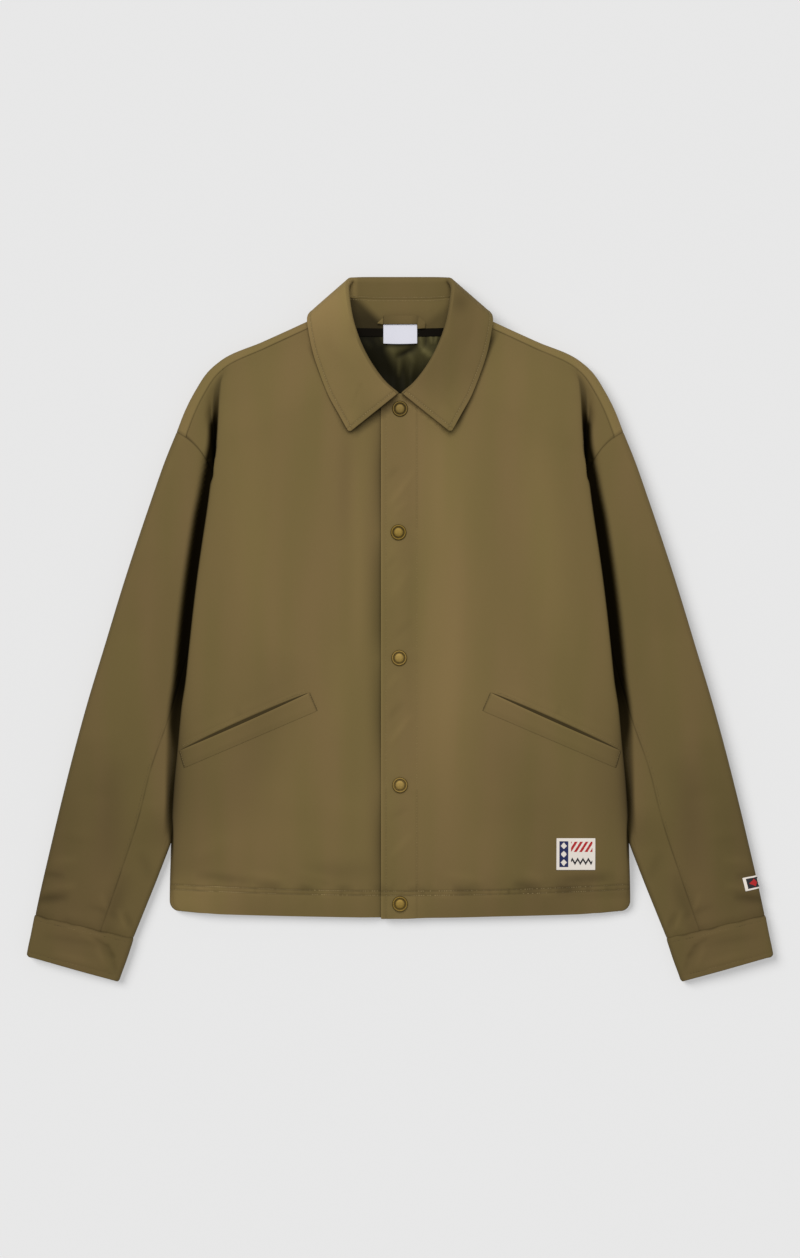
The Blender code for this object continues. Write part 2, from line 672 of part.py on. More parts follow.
def snap(name, y, z):
    """Turned cap: flat base, rolled rim, groove and low dome."""
    r = SNAP_D / 2
    profile = [(0.0, 3.6), (2.6, 3.4), (4.6, 2.7), (5.3, 2.1), (6.0, 2.5), (7.2, 2.7), (8.1, 2.2), (r, 1.2), (8.3, 0.3), (7.6, 0.0), (0.0, 0.0)]
    sides = 16
    bm = bmesh.new()
    rings = []
    for pr, pz in profile:
        if pr == 0.0:
            rings.append([bm.verts.new((0, 0, pz * MM))])
        else:
            rings.append([bm.verts.new((pr * MM * math.cos(2 * math.pi * i / sides), pr * MM * math.sin(2 * math.pi * i / sides), pz * MM))
                          for i in range(sides)])
    for a, b in zip(rings, rings[1:]):
        for i in range(sides):
            k = (i + 1) % sides
            if len(a) == 1:
                bm.faces.new((a[0], b[i], b[k]))
            elif len(b) == 1:
                bm.faces.new((a[i], b[0], a[k]))
            else:
                bm.faces.new((a[i], b[i], b[k], a[k]))
    mesh = bpy.data.meshes.new(name)
    bm.to_mesh(mesh)
    bm.free()
    mesh.shade_smooth()
    obj = bpy.data.objects.new(name, mesh)
    bpy.context.scene.collection.objects.link(obj)
    obj.data.materials.append(material("brass"))
    obj.location = (0.5 * MM, y * MM, z * MM)
    return obj


def lining_grid():
    rows = []
    for y in np.linspace(214, 327.5, 6):
        wide = 60 + 26 * ease(214, 320, y)
        row = []
        for x in np.linspace(-wide, wide, 13):
            ripple = sum(h * math.exp(-((x - x0) / w) ** 2) for x0, h, w in
                         zip(LINING_FOLDS["x"], LINING_FOLDS["height"], LINING_FOLDS["width"]))
            z = float(back_z(x, y)) + CLOTH / 2 + LAY_GAP + TRIM / 2 + 1.1 + ripple * float(ease(320, 285, y)) * 0.8
            row.append((x, y, z))
        rows.append(row)
    return np.array(rows)


def strip_grid(points, width, nw=2):
    """Narrow strip along plan points with heights."""
    p = np.array(points, float)
    rows = []
    for k in range(nw):
        off = width * (0.5 - k / (nw - 1))
        line = []
        for i in range(len(p)):
            t = p[min(i + 1, len(p) - 1)] - p[max(i - 1, 0)]
            n = np.array([-t[1], t[0]])
            n = n / np.linalg.norm(n)
            line.append((p[i, 0] + n[0] * off, p[i, 1] + n[1] * off, p[i, 2]))
        rows.append(line)
    return np.array(rows)


# ---------------------------------------------------------------- the jacket
def main():
    for obj in list(bpy.data.objects):
        bpy.data.objects.remove(obj, do_unlink=True)

    pull = SEAM_GAP / 2
    back, keep = back_grid()
    sheet("back", back, CLOTH, "olive", keep=keep, flip=True, inset=(0, 0.4, 0, 0))

    over = front_half(False)
    under = front_half(True)
    sheet("front_left", mirrored(over, 1), CLOTH, "olive", inset=(0, 0.4, 0, 0.8))
    sheet("front_right", mirrored(under, -1), CLOTH, "olive", flip=True, inset=(0, 0.4, 0, 0.8))

    upper, lower = sleeve_pieces()
    for name, side in (("left", 1), ("right", -1)):
        sheet(f"sleeve_{name}_upper", mirrored(upper, side), CLOTH, "olive", flip=side > 0, inset=(0.7, pull, 2 * pull, 2 * pull))
        sheet(f"sleeve_{name}_under", mirrored(lower, side), CLOTH, "olive_dark", flip=side > 0, inset=(0.7, pull, 2 * pull, 2 * pull))
        sheet(f"cuff_{name}", mirrored(cuff_ring(), side), CUFF, "olive_dark", ring=True, flip=side > 0)

    leaf, band = collar_sections()
    sheet("collar_leaf", both_sides(leaf), LEAF, "olive", inset=(0, 0, 0, 0.35))
    sheet("collar_stand", both_sides(band), CLOTH, "olive_dark")

    for name, side, front in (("left", 1, over), ("right", -1, under)):
        sheet(f"welt_{name}", mirrored(welt_grid(front), side), WELT, "olive_dark", flip=side < 0)

    for i, y in enumerate(SNAP_YS):
        base = max(on_front(over, x, y + s) for x in (-8, 0, 8) for s in (-8, 0, 8)) if y < 150 else float(front_z(0.0, y)) + 0.3
        snap(f"snap_{i + 1}", y, base + CLOTH / 2 + LAY_GAP)

    sheet("lining", lining_grid(), TRIM, "lining")
    tape = [(x, 332.0 + 0.0011 * x * x, float(back_z(x, 332)) + CLOTH * 1.5 + 2 * LAY_GAP + TRIM / 2 + 0.3) for x in np.linspace(-62, 62, 9)]
    sheet("neck_tape", strip_grid(tape, 8.6), TRIM, "tape", flip=True)
    top = max(p[2] for p in tape) + TRIM + LAY_GAP
    label = [[(x, y, top + 0.012 * (y - 319)) for x in (-18.4, 0.4, 19.0)] for y in (319.4, 341.2)]
    sheet("neck_label", label, TRIM, "label_white")
    loop = [(-25, 343.0, 16.2), (-22.6, 343.8, 16.4), (0, 346.2, 17.4), (20.5, 349.6, 17.0), (26.5, 347.4, 16.8), (28.5, 342.2, 16.2)]
    sheet("hanger_loop", strip_grid(loop, 6.6), TRIM, "olive_dark", flip=True)

    sheet("sleeve_badge", badge_grid(), TRIM, "label_cream", flip=True)

    patch = panel_patch(over, 175.3, 218.2, -269.4, -234.3, CLOTH / 2 + LAY_GAP + TRIM / 2, 5, 4)
    sheet("patch_label", patch, TRIM, "label_cream")


main()
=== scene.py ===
"""Looks of an olive shirt jacket that lies flat on its back.

Sizes are in millimetres until a mesh is made.  +X is the wearer's left, +Y runs
towards the collar and +Z is up off the floor.  Each cloth piece follows the form of
its solid on a finer grid, with creases, seams and stitches of its own.
"""
import math

import bmesh
import bpy
import numpy as np
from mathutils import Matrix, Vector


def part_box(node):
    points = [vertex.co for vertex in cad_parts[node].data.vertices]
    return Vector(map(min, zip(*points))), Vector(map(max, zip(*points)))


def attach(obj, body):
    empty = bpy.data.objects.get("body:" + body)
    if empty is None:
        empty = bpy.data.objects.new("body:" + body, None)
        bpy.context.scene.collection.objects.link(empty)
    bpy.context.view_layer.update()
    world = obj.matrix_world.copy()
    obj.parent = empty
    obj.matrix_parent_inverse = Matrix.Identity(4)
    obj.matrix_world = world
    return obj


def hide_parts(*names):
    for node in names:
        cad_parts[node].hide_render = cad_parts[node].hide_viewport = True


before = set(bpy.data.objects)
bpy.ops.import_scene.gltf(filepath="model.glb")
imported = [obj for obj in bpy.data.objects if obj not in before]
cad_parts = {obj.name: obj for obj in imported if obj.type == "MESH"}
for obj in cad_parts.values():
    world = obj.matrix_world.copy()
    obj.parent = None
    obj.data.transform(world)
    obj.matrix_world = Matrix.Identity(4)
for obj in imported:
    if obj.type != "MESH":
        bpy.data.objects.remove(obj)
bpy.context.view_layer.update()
MM = 0.001
PX = 1.12                 # millimetres to a pixel of the 800 x 1258 picture


# ------------------------------------------------------------------ camera, floor and light
def make_camera():
    cam = bpy.data.objects.new("camera", bpy.data.cameras.new("camera"))
    bpy.context.scene.collection.objects.link(cam)
    cam.data.lens = 100.0
    cam.data.sensor_width = 36.0
    cam.data.sensor_fit = "AUTO"
    cam.data.clip_end = 20.0
    distance = 1258 * PX * MM * 100.0 / 36.0
    cam.location = (0.0, 0.0, 0.015 + distance)
    cam.rotation_euler = (0.0, 0.0, 0.0)
    bpy.context.scene.camera = cam


make_camera()

# towards the light, power, spread in degrees, and what it lights
SUNS = {"cloth_sun": ((-0.04, 0.36, 1.0), 2.30, 40.0, "jacket"), "floor_sun": ((-0.85, 0.62, 1.0), 3.19, 36.0, "ground")}
FILL = 0.30
LIT = {name: bpy.data.collections.new(name) for name in ("jacket", "ground")}


def make_stage():
    scene = bpy.context.scene
    scene.view_settings.view_transform = "Standard"
    scene.view_settings.look = "None"
    for name, (towards, power, spread, lit) in SUNS.items():
        sun = bpy.data.objects.new(name, bpy.data.lights.new(name, "SUN"))
        sun.data.energy = power
        sun.data.angle = math.radians(spread)
        sun.data.color = (1.0, 0.995, 0.985)
        d = np.array(towards) / np.linalg.norm(towards)
        sun.rotation_euler = (math.acos(d[2]), 0.0, math.atan2(d[1], d[0]) + math.pi / 2)
        scene.collection.objects.link(sun)
        sun.light_linking.receiver_collection = LIT[lit]
    world = bpy.data.worlds.new("studio")
    scene.world = world
    world.use_nodes = True
    back = world.node_tree.nodes["Background"]
    back.inputs["Color"].default_value = (0.985, 0.99, 1.0, 1)
    back.inputs["Strength"].default_value = FILL
    mesh = bpy.data.meshes.new("floor")
    s = 40.0
    mesh.from_pydata([(-s, -s, 0), (s, -s, 0), (s, s, 0), (-s, s, 0)], [], [(0, 1, 2, 3)])
    floor = bpy.data.objects.new("floor", mesh)
    scene.collection.objects.link(floor)
    floor.location.z = -0.0002
    mat = bpy.data.materials.new("floor")
    mat.use_nodes = True
    nt = mat.node_tree
    shader = nt.nodes["Principled BSDF"]
    shader.inputs["Roughness"].default_value = 0.9
    shader.inputs["Specular IOR Level"].default_value = 0.0
    shader.inputs["Emission Color"].default_value = (1, 1, 1, 1)
    shader.inputs["Emission Strength"].default_value = 0.40
    coord = nt.nodes.new("ShaderNodeTexCoord")
    noise = nt.nodes.new("ShaderNodeTexNoise")
    noise.inputs["Scale"].default_value = 3.0
    ramp = nt.nodes.new("ShaderNodeValToRGB")
    ramp.color_ramp.elements[0].color = (0.405, 0.405, 0.407, 1)
    ramp.color_ramp.elements[1].color = (0.409, 0.409, 0.411, 1)
    nt.links.new(coord.outputs["Object"], noise.inputs["Vector"])
    nt.links.new(noise.outputs["Fac"], ramp.inputs["Fac"])
    nt.links.new(ramp.outputs["Color"], shader.inputs["Base Color"])
    mesh.materials.append(mat)
    LIT["ground"].objects.link(floor)


make_stage()

# ------------------------------------------------------------------ sizes shared with the solids
CLOTH, LEAF, CUFF, WELT, TRIM = 1.6, 2.0, 2.2, 1.8, 1.0
SEAM_GAP, LAY_GAP = 0.3, 0.45
REST_Z = CLOTH / 2
PLACKET_HALF, PLACKET_STEP, HEM_Y = 20.8, 2.3, -324.3
FOLD_R, TUCK_R = 4.5, 3.6
SHOULDER_ROLL, SHOULDER_HALF_Z, SIDE_SEAM_Z, VALLEY_Z = 11.5, 9.3, 5.2, 7.2
SNAP_YS = (247.0, 108.1, -32.5, -174.2, -308.6)
INNER_REACH, INNER_HALF = 5.0, 4.4


def table(names, rows):
    """Named columns of a short table."""
    data = np.array(rows, float)
    return {n: data[:, i] for i, n in enumerate(names.split())}


def spline(xs, ys, smooth=False):
    """Curve through (xs, ys); smooth=False never overshoots."""
    xs, ys = np.asarray(xs, float), np.asarray(ys, float)
    single = ys.ndim == 1
    if single:
        ys = ys[:, None]
    h = np.diff(xs)[:, None]
    d = np.diff(ys, axis=0) / h
    m = np.zeros_like(ys)
    m[0], m[-1] = d[0], d[-1]
    if smooth:
        m[1:-1] = (h[1:] * d[:-1] + h[:-1] * d[1:]) / (h[:-1] + h[1:])
    else:
        both = d[:-1] * d[1:]
        total = d[:-1] + d[1:]
        m[1:-1] = np.where(both > 0, 2 * both / np.where(total == 0, 1, total), 0)

    def at(x):
        x = np.clip(np.asarray(x, float), xs[0], xs[-1])
        i = np.clip(np.searchsorted(xs, x, side="right") - 1, 0, len(h) - 1)
        hh = h[i]
        t = (x - xs[i])[..., None] / hh
        out = (ys[i] * (1 + 2 * t) * (1 - t) ** 2 + hh * m[i] * t * (1 - t) ** 2
               + ys[i + 1] * t * t * (3 - 2 * t) - hh * m[i + 1] * t * t * (1 - t))
        return out[..., 0] if single else out
    return at


def ease(a, b, x):
    t = np.clip((np.asarray(x, float) - a) / (b - a), 0, 1)
    return t * t * (3 - 2 * t)


def bell(d, w):
    return np.exp(-(np.asarray(d, float) / w) ** 2)


def wander(x, seed):
    """Uneven wave between about -1 and 1."""
    x = np.asarray(x, float)
    return (np.sin(x + 1.7 * seed) * 0.5 + np.sin(x * 1.93 + 4.1 * seed + 0.6) * 0.3
            + np.sin(x * 0.47 + 2.9 * seed + 1.9) * 0.4) / 1.05


BODY = table("y edge tuck", [
    (-324.3, 257.5, 0), (-319, 257.5, 0), (-311, 257.5, 0), (-285, 257.2, 0),
    (-240, 256.3, 1), (-200, 254.3, 11.5), (-170, 252.2, 20), (-130, 248.2, 30),
    (-88, 244.1, 38), (-59, 239.6, 42), (-20, 235.4, 45), (20, 231.0, 45.6),
    (60, 226.0, 40.6), (88, 222.0, 33.8), (140, 214.2, 17), (170, 210.4, 2.2),
    (192, 207.2, 0), (222, 204.2, 0), (255, 203.0, 0), (275, 201.4, 0), (290.6, 196.2, 0)])
side_edge = spline(BODY["y"], BODY["edge"])


def edge_at(y):
    """Half width of the body at its side fold, with a rounded hem corner."""
    y = np.asarray(y, float)
    drop = np.clip((-313.6 - y) / 10.7, 0, 1)
    return np.where(y < -313.6, 257.5 - 9.0 * (1 - np.sqrt(np.maximum(1 - drop ** 2, 0))), np.minimum(side_edge(y), 257.5))


tuck_at = spline(BODY["y"], BODY["tuck"])
LOFT = table("y z", [(-324.3, 9.5), (-300, 13.2), (-240, 19.0), (-150, 25.5),
                     (0, 31.0), (150, 34.0), (260, 35.0), (345, 33.0)])
loft_at = spline(LOFT["y"], LOFT["z"])
ARMHOLE = table("x y", [(249.5, 221), (239.9, 214.65), (231, 207.5), (223, 198.5), (217, 189),
                        (208, 170), (198, 140), (189, 88), (187, 60), (188.8, 20)])
SHOULDER = table("x y", [(249.5, 221), (240.2, 244.7), (228.8, 266.8), (213.9, 288.8), (200.8, 300.1),
                         (152.9, 321.6), (110, 341.0), (89, 350.5)])
NECK_BACK = table("x y", [(45, 337.8), (0, 334)])
SLEEVE = table("ox oy ix iy half crown reach", [
    (249.5, 221, 188.8, 20, 9.3, 20.0, 11.5), (262.6, 188.7, 190.2, 11, 9.2, 21.5, 9.6),
    (278.3, 144, 192.2, 1, 9.0, 22.8, 8), (306, 61, 196.4, -24, 8.6, 23.6, 6.6),
    (332, -24, 204, -65, 8.3, 23.6, 6), (349, -80, 218.5, -117, 8.0, 22.8, 5.6),
    (364.4, -136, 237, -165, 7.6, 21.4, 5.3), (378.6, -192, 250.4, -218, 7.2, 19.6, 5),
    (392.0, -248, 270.9, -274, 6.6, 17.4, 4.8), (402.2, -292, 286.9, -314, 6.0, 15.2, 4.8),
    (408.5, -321.3, 300.4, -347.4, 5.6, 13.2, 4.8)])
CUFFS = table("ox oy ix iy half crown reach", [
    (409.1, -321.7, 300.1, -347.8, 5.9, 13.4, 4.8), (413.3, -343, 307.2, -369.5, 5.7, 12.8, 4.6),
    (417.2, -361.6, 314.3, -388.8, 5.5, 12.4, 4.5), (417.7, -365.0, 315.8, -393.0, 5.4, 12.2, 4.5),
    (416.3, -366.9, 317.3, -394.6, 5.3, 12.0, 4.5)])
COLLAR = table("rx ry rz ex ey ez turn gap strip", [
    (0, 394, 7.6, 0, 322, 1.4, 0, 5.6, 24), (26, 394, 7.7, 34, 322.5, 1.4, 0, 5.6, 24),
    (43, 393.8, 8.8, 66, 327, 1.4, 8, 4.8, 23.5), (50.4, 393.0, 11.6, 86, 337.5, 1.6, 38, 3.4, 23),
    (54.0, 391.4, 16.5, 98.4, 354.4, 6.6, 82, 2.5, 22), (56.2, 387.6, 22.5, 102.0, 351.8, 17, 118, 2.5, 20),
    (57.8, 381.2, 28.5, 103.2, 344.4, 24.5, 146, 2.6, 18), (56.8, 369, 33.2, 101.3, 331, 26.2, 166, 2.8, 16),
    (53.0, 346, 37.4, 96.8, 309.4, 27.0, 180, 2.9, 15), (44.8, 320.6, 39.4, 89.2, 285.8, 31.6, 180, 2.7, 14),
    (32.4, 296.2, 40.4, 79.0, 260, 36.6, 180, 2.6, 13), (16.9, 275.3, 40.8, 67.7, 239.4, 37.0, 180, 2.5, 12),
    (2.4, 262.6, 40.8, 56.6, 219.3, 37.0, 180, 2.4, 11)])
NECK = table("x y", [(0, 331), (25, 332), (48, 335), (66, 339), (78, 343.5), (83.5, 345), (86.5, 341.5),
                     (87, 334), (82, 319), (73, 301), (59, 282), (41, 270), (18, 261.5)])
WELT_CORNERS = ((246.6, -136.3), (100.8, -71.2), (92.2, -91.0), (241.4, -155.0))
FAN = table("t x y knot back dip", [
    (192, -PLACKET_HALF, 192, 4.0, 1.0, 1.0), (208, -PLACKET_HALF, 227.5, 3.5, 0.833, 1.0),
    (224, -PLACKET_HALF, 257.6, 3.0, 0.667, 1.0), (241, 22, 265.4, 2.5, 0.5, 0.97),
    (257, 52, 281.5, 2.0, 0.333, 0.8), (274, 73, 310, 1.5, 0.167, 0.4), (290.6, 84.3, 343.0, 1.0, 0.0, 0.0)])


def shoulder_gap(x, y):
    """Distance of a plan point below the shoulder seam."""
    return ((343.0 - 0.458 * (x - 84.3)) - y) * 0.909


def front_z(x, y):
    """Middle of the front's wall above the floor (x is the half width)."""
    ax = np.abs(x)
    z = loft_at(y)
    top = REST_Z + 2 * SHOULDER_HALF_Z
    z = top + (z - top) * np.where(y > 150, ease(0, 78, shoulder_gap(ax, y)), 1.0)
    near = 1 - ease(0, 30, edge_at(y) - ax)
    return z - 2.4 * near * np.where(y > 235, 1 - ease(235, 290, y), 1.0)


def back_z(x, y):
    return REST_Z + 8.4 * ease(278, 324, y) * (1 - ease(84, 126, np.abs(x)))


def sleeve_top(x, y, q, half, crown):
    """Top layer of a sleeve: q runs from the outer roll (0) to the inner one (1)."""
    outer = REST_Z + 2 * half
    high = outer + (crown - outer) * ease(0, 0.34, q)
    inner = REST_Z + 2 * INNER_HALF
    rise = 1.0 + 7.0 * ease(0, 120, y + 200)
    tucked = VALLEY_Z + (high - VALLEY_Z) * np.clip(ease(0, 1, (x - edge_at(y) - 1.0) / (rise + 8.0)), 0, 1)
    free = inner + (high - inner) * (1 - ease(0.42, 1, q))
    return free + (tucked - free) * ease(-250, -195, y)


# shoulder outline, shoulder seam and armhole as smooth curves
def run_length(p):
    return np.concatenate([[0], np.cumsum(np.linalg.norm(np.diff(p, axis=0), axis=1))])


OUT_P = np.stack([SHOULDER["x"], SHOULDER["y"]], 1)
OUT_N = []
for _i in range(len(OUT_P)):
    _t = OUT_P[min(_i + 1, len(OUT_P) - 1)] - OUT_P[max(_i - 1, 0)]
    OUT_N.append(np.array([-_t[1], _t[0]]) / np.linalg.norm(_t))
OUT_N[0] = np.array([ARMHOLE["x"][1] - ARMHOLE["x"][0], ARMHOLE["y"][1] - ARMHOLE["y"][0]])
OUT_N[0] = OUT_N[0] / np.linalg.norm(OUT_N[0])
OUT_N = np.array(OUT_N)
SEAM_IN = np.array([11.5, 11.0, 10.4, 9.8, 9.2, 7.6, 7.2, 7.2])
SEAM_P = OUT_P + OUT_N * SEAM_IN[:, None]
OUT_LEN = run_length(OUT_P)
outline_at = spline(OUT_LEN, OUT_P, smooth=True)
seam_at = spline(OUT_LEN, SEAM_P, smooth=True)
ARM_P = np.stack([ARMHOLE["x"], ARMHOLE["y"]], 1)
ARM_LEN = run_length(ARM_P)
arm_at = spline(ARM_LEN, ARM_P, smooth=True)
arm_x_of_y = spline(ARM_P[::-1, 1], ARM_P[::-1, 0])
arm_len_of_y = spline(ARM_P[::-1, 1], ARM_LEN[::-1])
knot_len = spline(np.arange(len(ARM_LEN)), ARM_LEN)


def seam_height(length):
    """Height of the armhole seam's upper side at a length from the outline."""
    p = arm_at(length)
    q = (length - SHOULDER_ROLL) / (ARM_LEN[-1] - SHOULDER_ROLL - INNER_REACH)
    return sleeve_top(p[..., 0], p[..., 1], np.clip(q, 0, 1), SLEEVE["half"][0], SLEEVE["crown"][0])


# ------------------------------------------------------------------ creases
def ridge(x, y, x0, y0, x1, y1, wide, high):
    """Soft ridge (or trough) along a line, tapered at both ends."""
    dx, dy = x1 - x0, y1 - y0
    size = math.hypot(dx, dy)
    s = ((x - x0) * dx + (y - y0) * dy) / size ** 2
    d = ((x - x0) * dy - (y - y0) * dx) / size
    return high * np.sin(np.pi * np.clip(s, 0, 1)) ** 0.8 * bell(d, wide)


def px(x, y):
    """Plan position of a picture pixel."""
    return ((x - 399.5) * PX, (628.5 - y) * PX)


def creases(rows):
    out = []
    for ax, ay, bx, by, wide, high in rows:
        out.append((*px(ax, ay), *px(bx, by), wide, high))
    return out


# from, to (picture pixels), half width and height in millimetres
FRONT_CREASES = creases([
    (388, 508, 414, 470, 3.6, 0.9), (386, 482, 400, 466, 4.0, -0.6), (388, 745, 412, 712, 3.6, 0.9), (392, 515, 408, 500, 3.0, 0.5),
    (386, 722, 404, 700, 4.0, -0.7), (390, 600, 410, 565, 5.0, 0.6), (388, 860, 412, 832, 4.0, 0.6), (386, 690, 398, 672, 3.5, 0.5),
    (386, 570, 396, 556, 3.5, -0.5), (392, 640, 412, 620, 4.0, -0.5), (388, 820, 410, 806, 4.0, -0.5),
    (236, 706, 243, 724, 3.0, -0.7), (560, 704, 553, 722, 3.0, -0.6),
    (190, 860, 230, 842, 9.0, 1.0), (600, 858, 566, 838, 9.0, 0.9),
    (330, 640, 352, 470, 26, 1.2), (470, 640, 448, 470, 26, 1.2), (250, 640, 268, 450, 30, 1.2), (548, 640, 532, 450, 30, 1.2),
    (300, 800, 350, 860, 22, -0.8), (500, 800, 452, 860, 22, -0.8), (232, 790, 330, 812, 18, 0.9), (566, 790, 470, 812, 18, 0.9),
    (226, 400, 262, 372, 9, 0.6), (574, 400, 538, 372, 9, 0.6), (222, 430, 236, 470, 8, -0.5), (578, 430, 564, 470, 8, -0.5),
    (296, 872, 338, 880, 5, 0.7), (240, 872, 290, 880, 5, 0.6), (520, 872, 548, 881, 5, 0.7), (440, 874, 486, 880, 5, 0.6)])
SLEEVE_CREASES = creases([
    (28, 901, 70, 898, 4.6, -2.5), (38, 890, 78, 886, 5.0, 1.5), (40, 874, 66, 877, 4.0, -1.6), (48, 862, 80, 860, 6, 0.9),
    (772, 901, 732, 898, 4.6, -2.3), (761, 890, 722, 886, 5.0, 1.4), (760, 874, 734, 877, 4.0, -1.4), (752, 862, 720, 860, 6, 0.9),
    (100, 892, 112, 926, 3.5, 1.1), (700, 892, 688, 926, 3.5, 1.1), (124, 912, 134, 934, 3.5, -1.4), (676, 912, 666, 934, 3.5, -1.3),
    (117, 908, 126, 932, 3.5, 1.2), (683, 908, 674, 932, 3.5, 1.2),
    (66, 742, 124, 736, 14, 1.4), (733, 742, 676, 736, 14, 1.3), (72, 790, 118, 800, 12, -1.2), (727, 790, 682, 800, 12, -1.2),
    (150, 470, 180, 452, 9, -1.0), (650, 470, 620, 452, 9, -1.0), (128, 560, 168, 540, 16, 1.1), (672, 560, 632, 540, 16, 1.1),
    (110, 640, 150, 625, 14, -1.0), (690, 640, 650, 625, 14, -1.0), (58, 832, 96, 838, 7, 0.9), (742, 832, 704, 838, 7, 0.9),
    (86, 905, 118, 918, 3.5, -0.9), (714, 905, 682, 918, 3.5, -0.9), (152, 800, 166, 842, 8, 0.9), (648, 800, 634, 842, 8, 0.9),
    (140, 850, 152, 884, 6, -0.9), (660, 850, 648, 884, 6, -0.9)])
CUFF_CREASES = creases([
    (92, 938, 110, 949, 2.6, -1.3), (105, 943, 114, 960, 2.6, -1.5), (111, 952, 116, 976, 2.6, -1.2), (96, 947, 106, 970, 4.0, 1.1), (78, 934, 100, 944, 3.5, 0.7),
    (708, 938, 692, 949, 2.8, -1.0), (696, 943, 688, 960, 2.8, -1.1), (690, 952, 684, 974, 2.8, -0.9), (704, 947, 695, 970, 4.0, 0.9),
    (38, 936, 98, 946, 5.5, -0.9), (762, 936, 702, 946, 5.5, -0.8), (50, 952, 100, 966, 5, 0.8), (750, 952, 700, 966, 5, 0.7),
    (100, 945, 113, 960, 3.2, -0.9), (700, 945, 687, 960, 3.2, -0.7), (60, 926, 110, 938, 3.0, 0.6), (740, 926, 690, 938, 3.0, 0.6)])


# painted light and shade in soft bands: from, to (picture pixels), half width in millimetres, share of tone
FRONT_PAINTED_BANDS = creases([
    (238, 395, 260, 655, 28, 0.10), (346, 415, 343, 545, 9, -0.11), (292, 650, 222, 835, 32, -0.15), (296, 872, 380, 868, 11, -0.11),
    (340, 640, 336, 740, 14, 0.05), (530, 410, 556, 660, 23, 0.12), (498, 700, 566, 930, 52, -0.14), (410, 420, 410, 780, 9, -0.07),
    (390, 470, 391, 610, 9, 0.08), (390, 725, 390, 830, 9, 0.05), (320, 800, 372, 806, 16, 0.04),
    (357, 455, 358, 660, 8, 0.07),
    (194, 873, 252, 881, 5.0, -0.19), (254, 883, 284, 887, 4.6, -0.15), (298, 886, 314, 889, 4.2, -0.17), (334, 886, 354, 889, 4.2, -0.15), (370, 886, 386, 888, 4.0, -0.12),
    (174, 886, 240, 891, 4.0, 0.11), (244, 890, 264, 893, 4.0, 0.09), (316, 893, 332, 894, 4.0, 0.09), (406, 888, 434, 890, 4.0, -0.12), (450, 887, 470, 890, 5.0, -0.19),
    (510, 883, 542, 888, 5.4, -0.22), (554, 880, 616, 875, 6.5, -0.22), (554, 890, 582, 887, 4.8, -0.17), (434, 894, 454, 894, 4.0, 0.09), (470, 893, 512, 893, 4.0, 0.08),
    (538, 893, 558, 891, 4.0, 0.11), (588, 886, 614, 884, 3.8, 0.09)])
SLEEVE_PAINTED_BANDS = creases([
    (140, 610, 118, 770, 34, 0.08), (114, 752, 106, 880, 17, -0.15), (102, 938, 126, 870, 10, -0.20), (44, 925, 66, 922, 9, 0.14), (40, 892, 70, 888, 9, -0.08)])


# shade that the collar casts on the fronts: along an edge of the leaf (picture pixels), reach to its outer side in millimetres, depth
COLLAR_CASTS = creases([(494, 328, 451, 435, 8.6, 0.66), (348, 435, 308, 342, 5.0, 0.34), (398, 399, 349, 434, 9.5, 0.52), (452, 433, 404, 400, 4.0, -0.22)])


def cast(x, y, x0, y0, x1, y1, reach, depth):
    """One-sided soft shade beside a line, on its left as it is followed."""
    dx, dy = x1 - x0, y1 - y0
    size = math.hypot(dx, dy)
    s = ((x - x0) * dx + (y - y0) * dy) / size ** 2
    d = ((y - y0) * dx - (x - x0) * dy) / size
    return depth * ease(-0.04, 0.14, s) * (1 - ease(0.84, 1.02, s)) * (1 - ease(0.15 * reach, reach, d)) * ease(-18, -12, d)


def bands(x, y, rows):
    out = 1.0
    for c in rows:
        out = out + ridge(x, y, *c)
    return out


def hem_rows(x):
    """The two stitch lines of the hem."""
    return -293.7 + 7.6 * (x / 255) ** 2, -298.5 + 6.8 * (x / 255) ** 2


def hem_rise(x, side=0):
    """Rise of the hem's edge over its lowest line; the overlap of the placket hangs a little lower."""
    drop = 1.0 * (1 - ease(2, 36, x)) + 0.4 * (1 - ease(60, 120, x)) if side > 0 else 0.0
    return 1.1 + 5.2 * (np.abs(x) / 250.0) ** 2 + 2.4 * ease(196, 256, np.abs(x)) - drop


def between_snaps(y):
    """0 at a snap and 1 half way to the next one."""
    out = np.zeros_like(np.asarray(y, float))
    for high, low in zip(SNAP_YS, SNAP_YS[1:]):
        out = out + np.sin(np.pi * np.clip((y - low) / (high - low), 0, 1)) * ((y > low) & (y < high))
    return out


def front_painted_light_and_shade(x, y):
    """Painted light and shade over the fronts: lighter up the middle, darker at the sides and hem, with painted bands,
    the collar's painted shadow and painted shade beside the side folds.
    """
    t = 1.0 + 0.03 * y / 300 - 0.06 * ease(120, 245, np.abs(x))
    t = t + 0.17 * bell(x - 48, 34) * ease(-260, -60, y) * (1 - 0.5 * ease(150, 300, y))
    t = t + 0.03 * bell(x + 50, 36) * ease(-200, 0, y)
    t = t * bands(x, y, FRONT_PAINTED_BANDS) + 0.36 * ease(-150, -250, x) * ease(-262, -308, y) + 0.10 * ease(150, 245, x) * ease(-296, -306, y)
    t = t + 0.16 * bell(x, 22) * ease(-290, -306, y)
    t = t - 0.07 * ease(-220, -320, y) - 0.10 * ease(-265, -300, y) * ease(0, 130, x)
    for c in COLLAR_CASTS:
        t = t * (1 - cast(x, y, *c))
    off = edge_at(y) - np.abs(x)
    low = bell(y + 180, 85)
    return t * (1 - low * (0.24 * bell(off, 42) + 0.26 * bell(off, 9)) - 0.10 * bell(off, 5))


outer_x_at = spline(SLEEVE["oy"][::-1], SLEEVE["ox"][::-1])
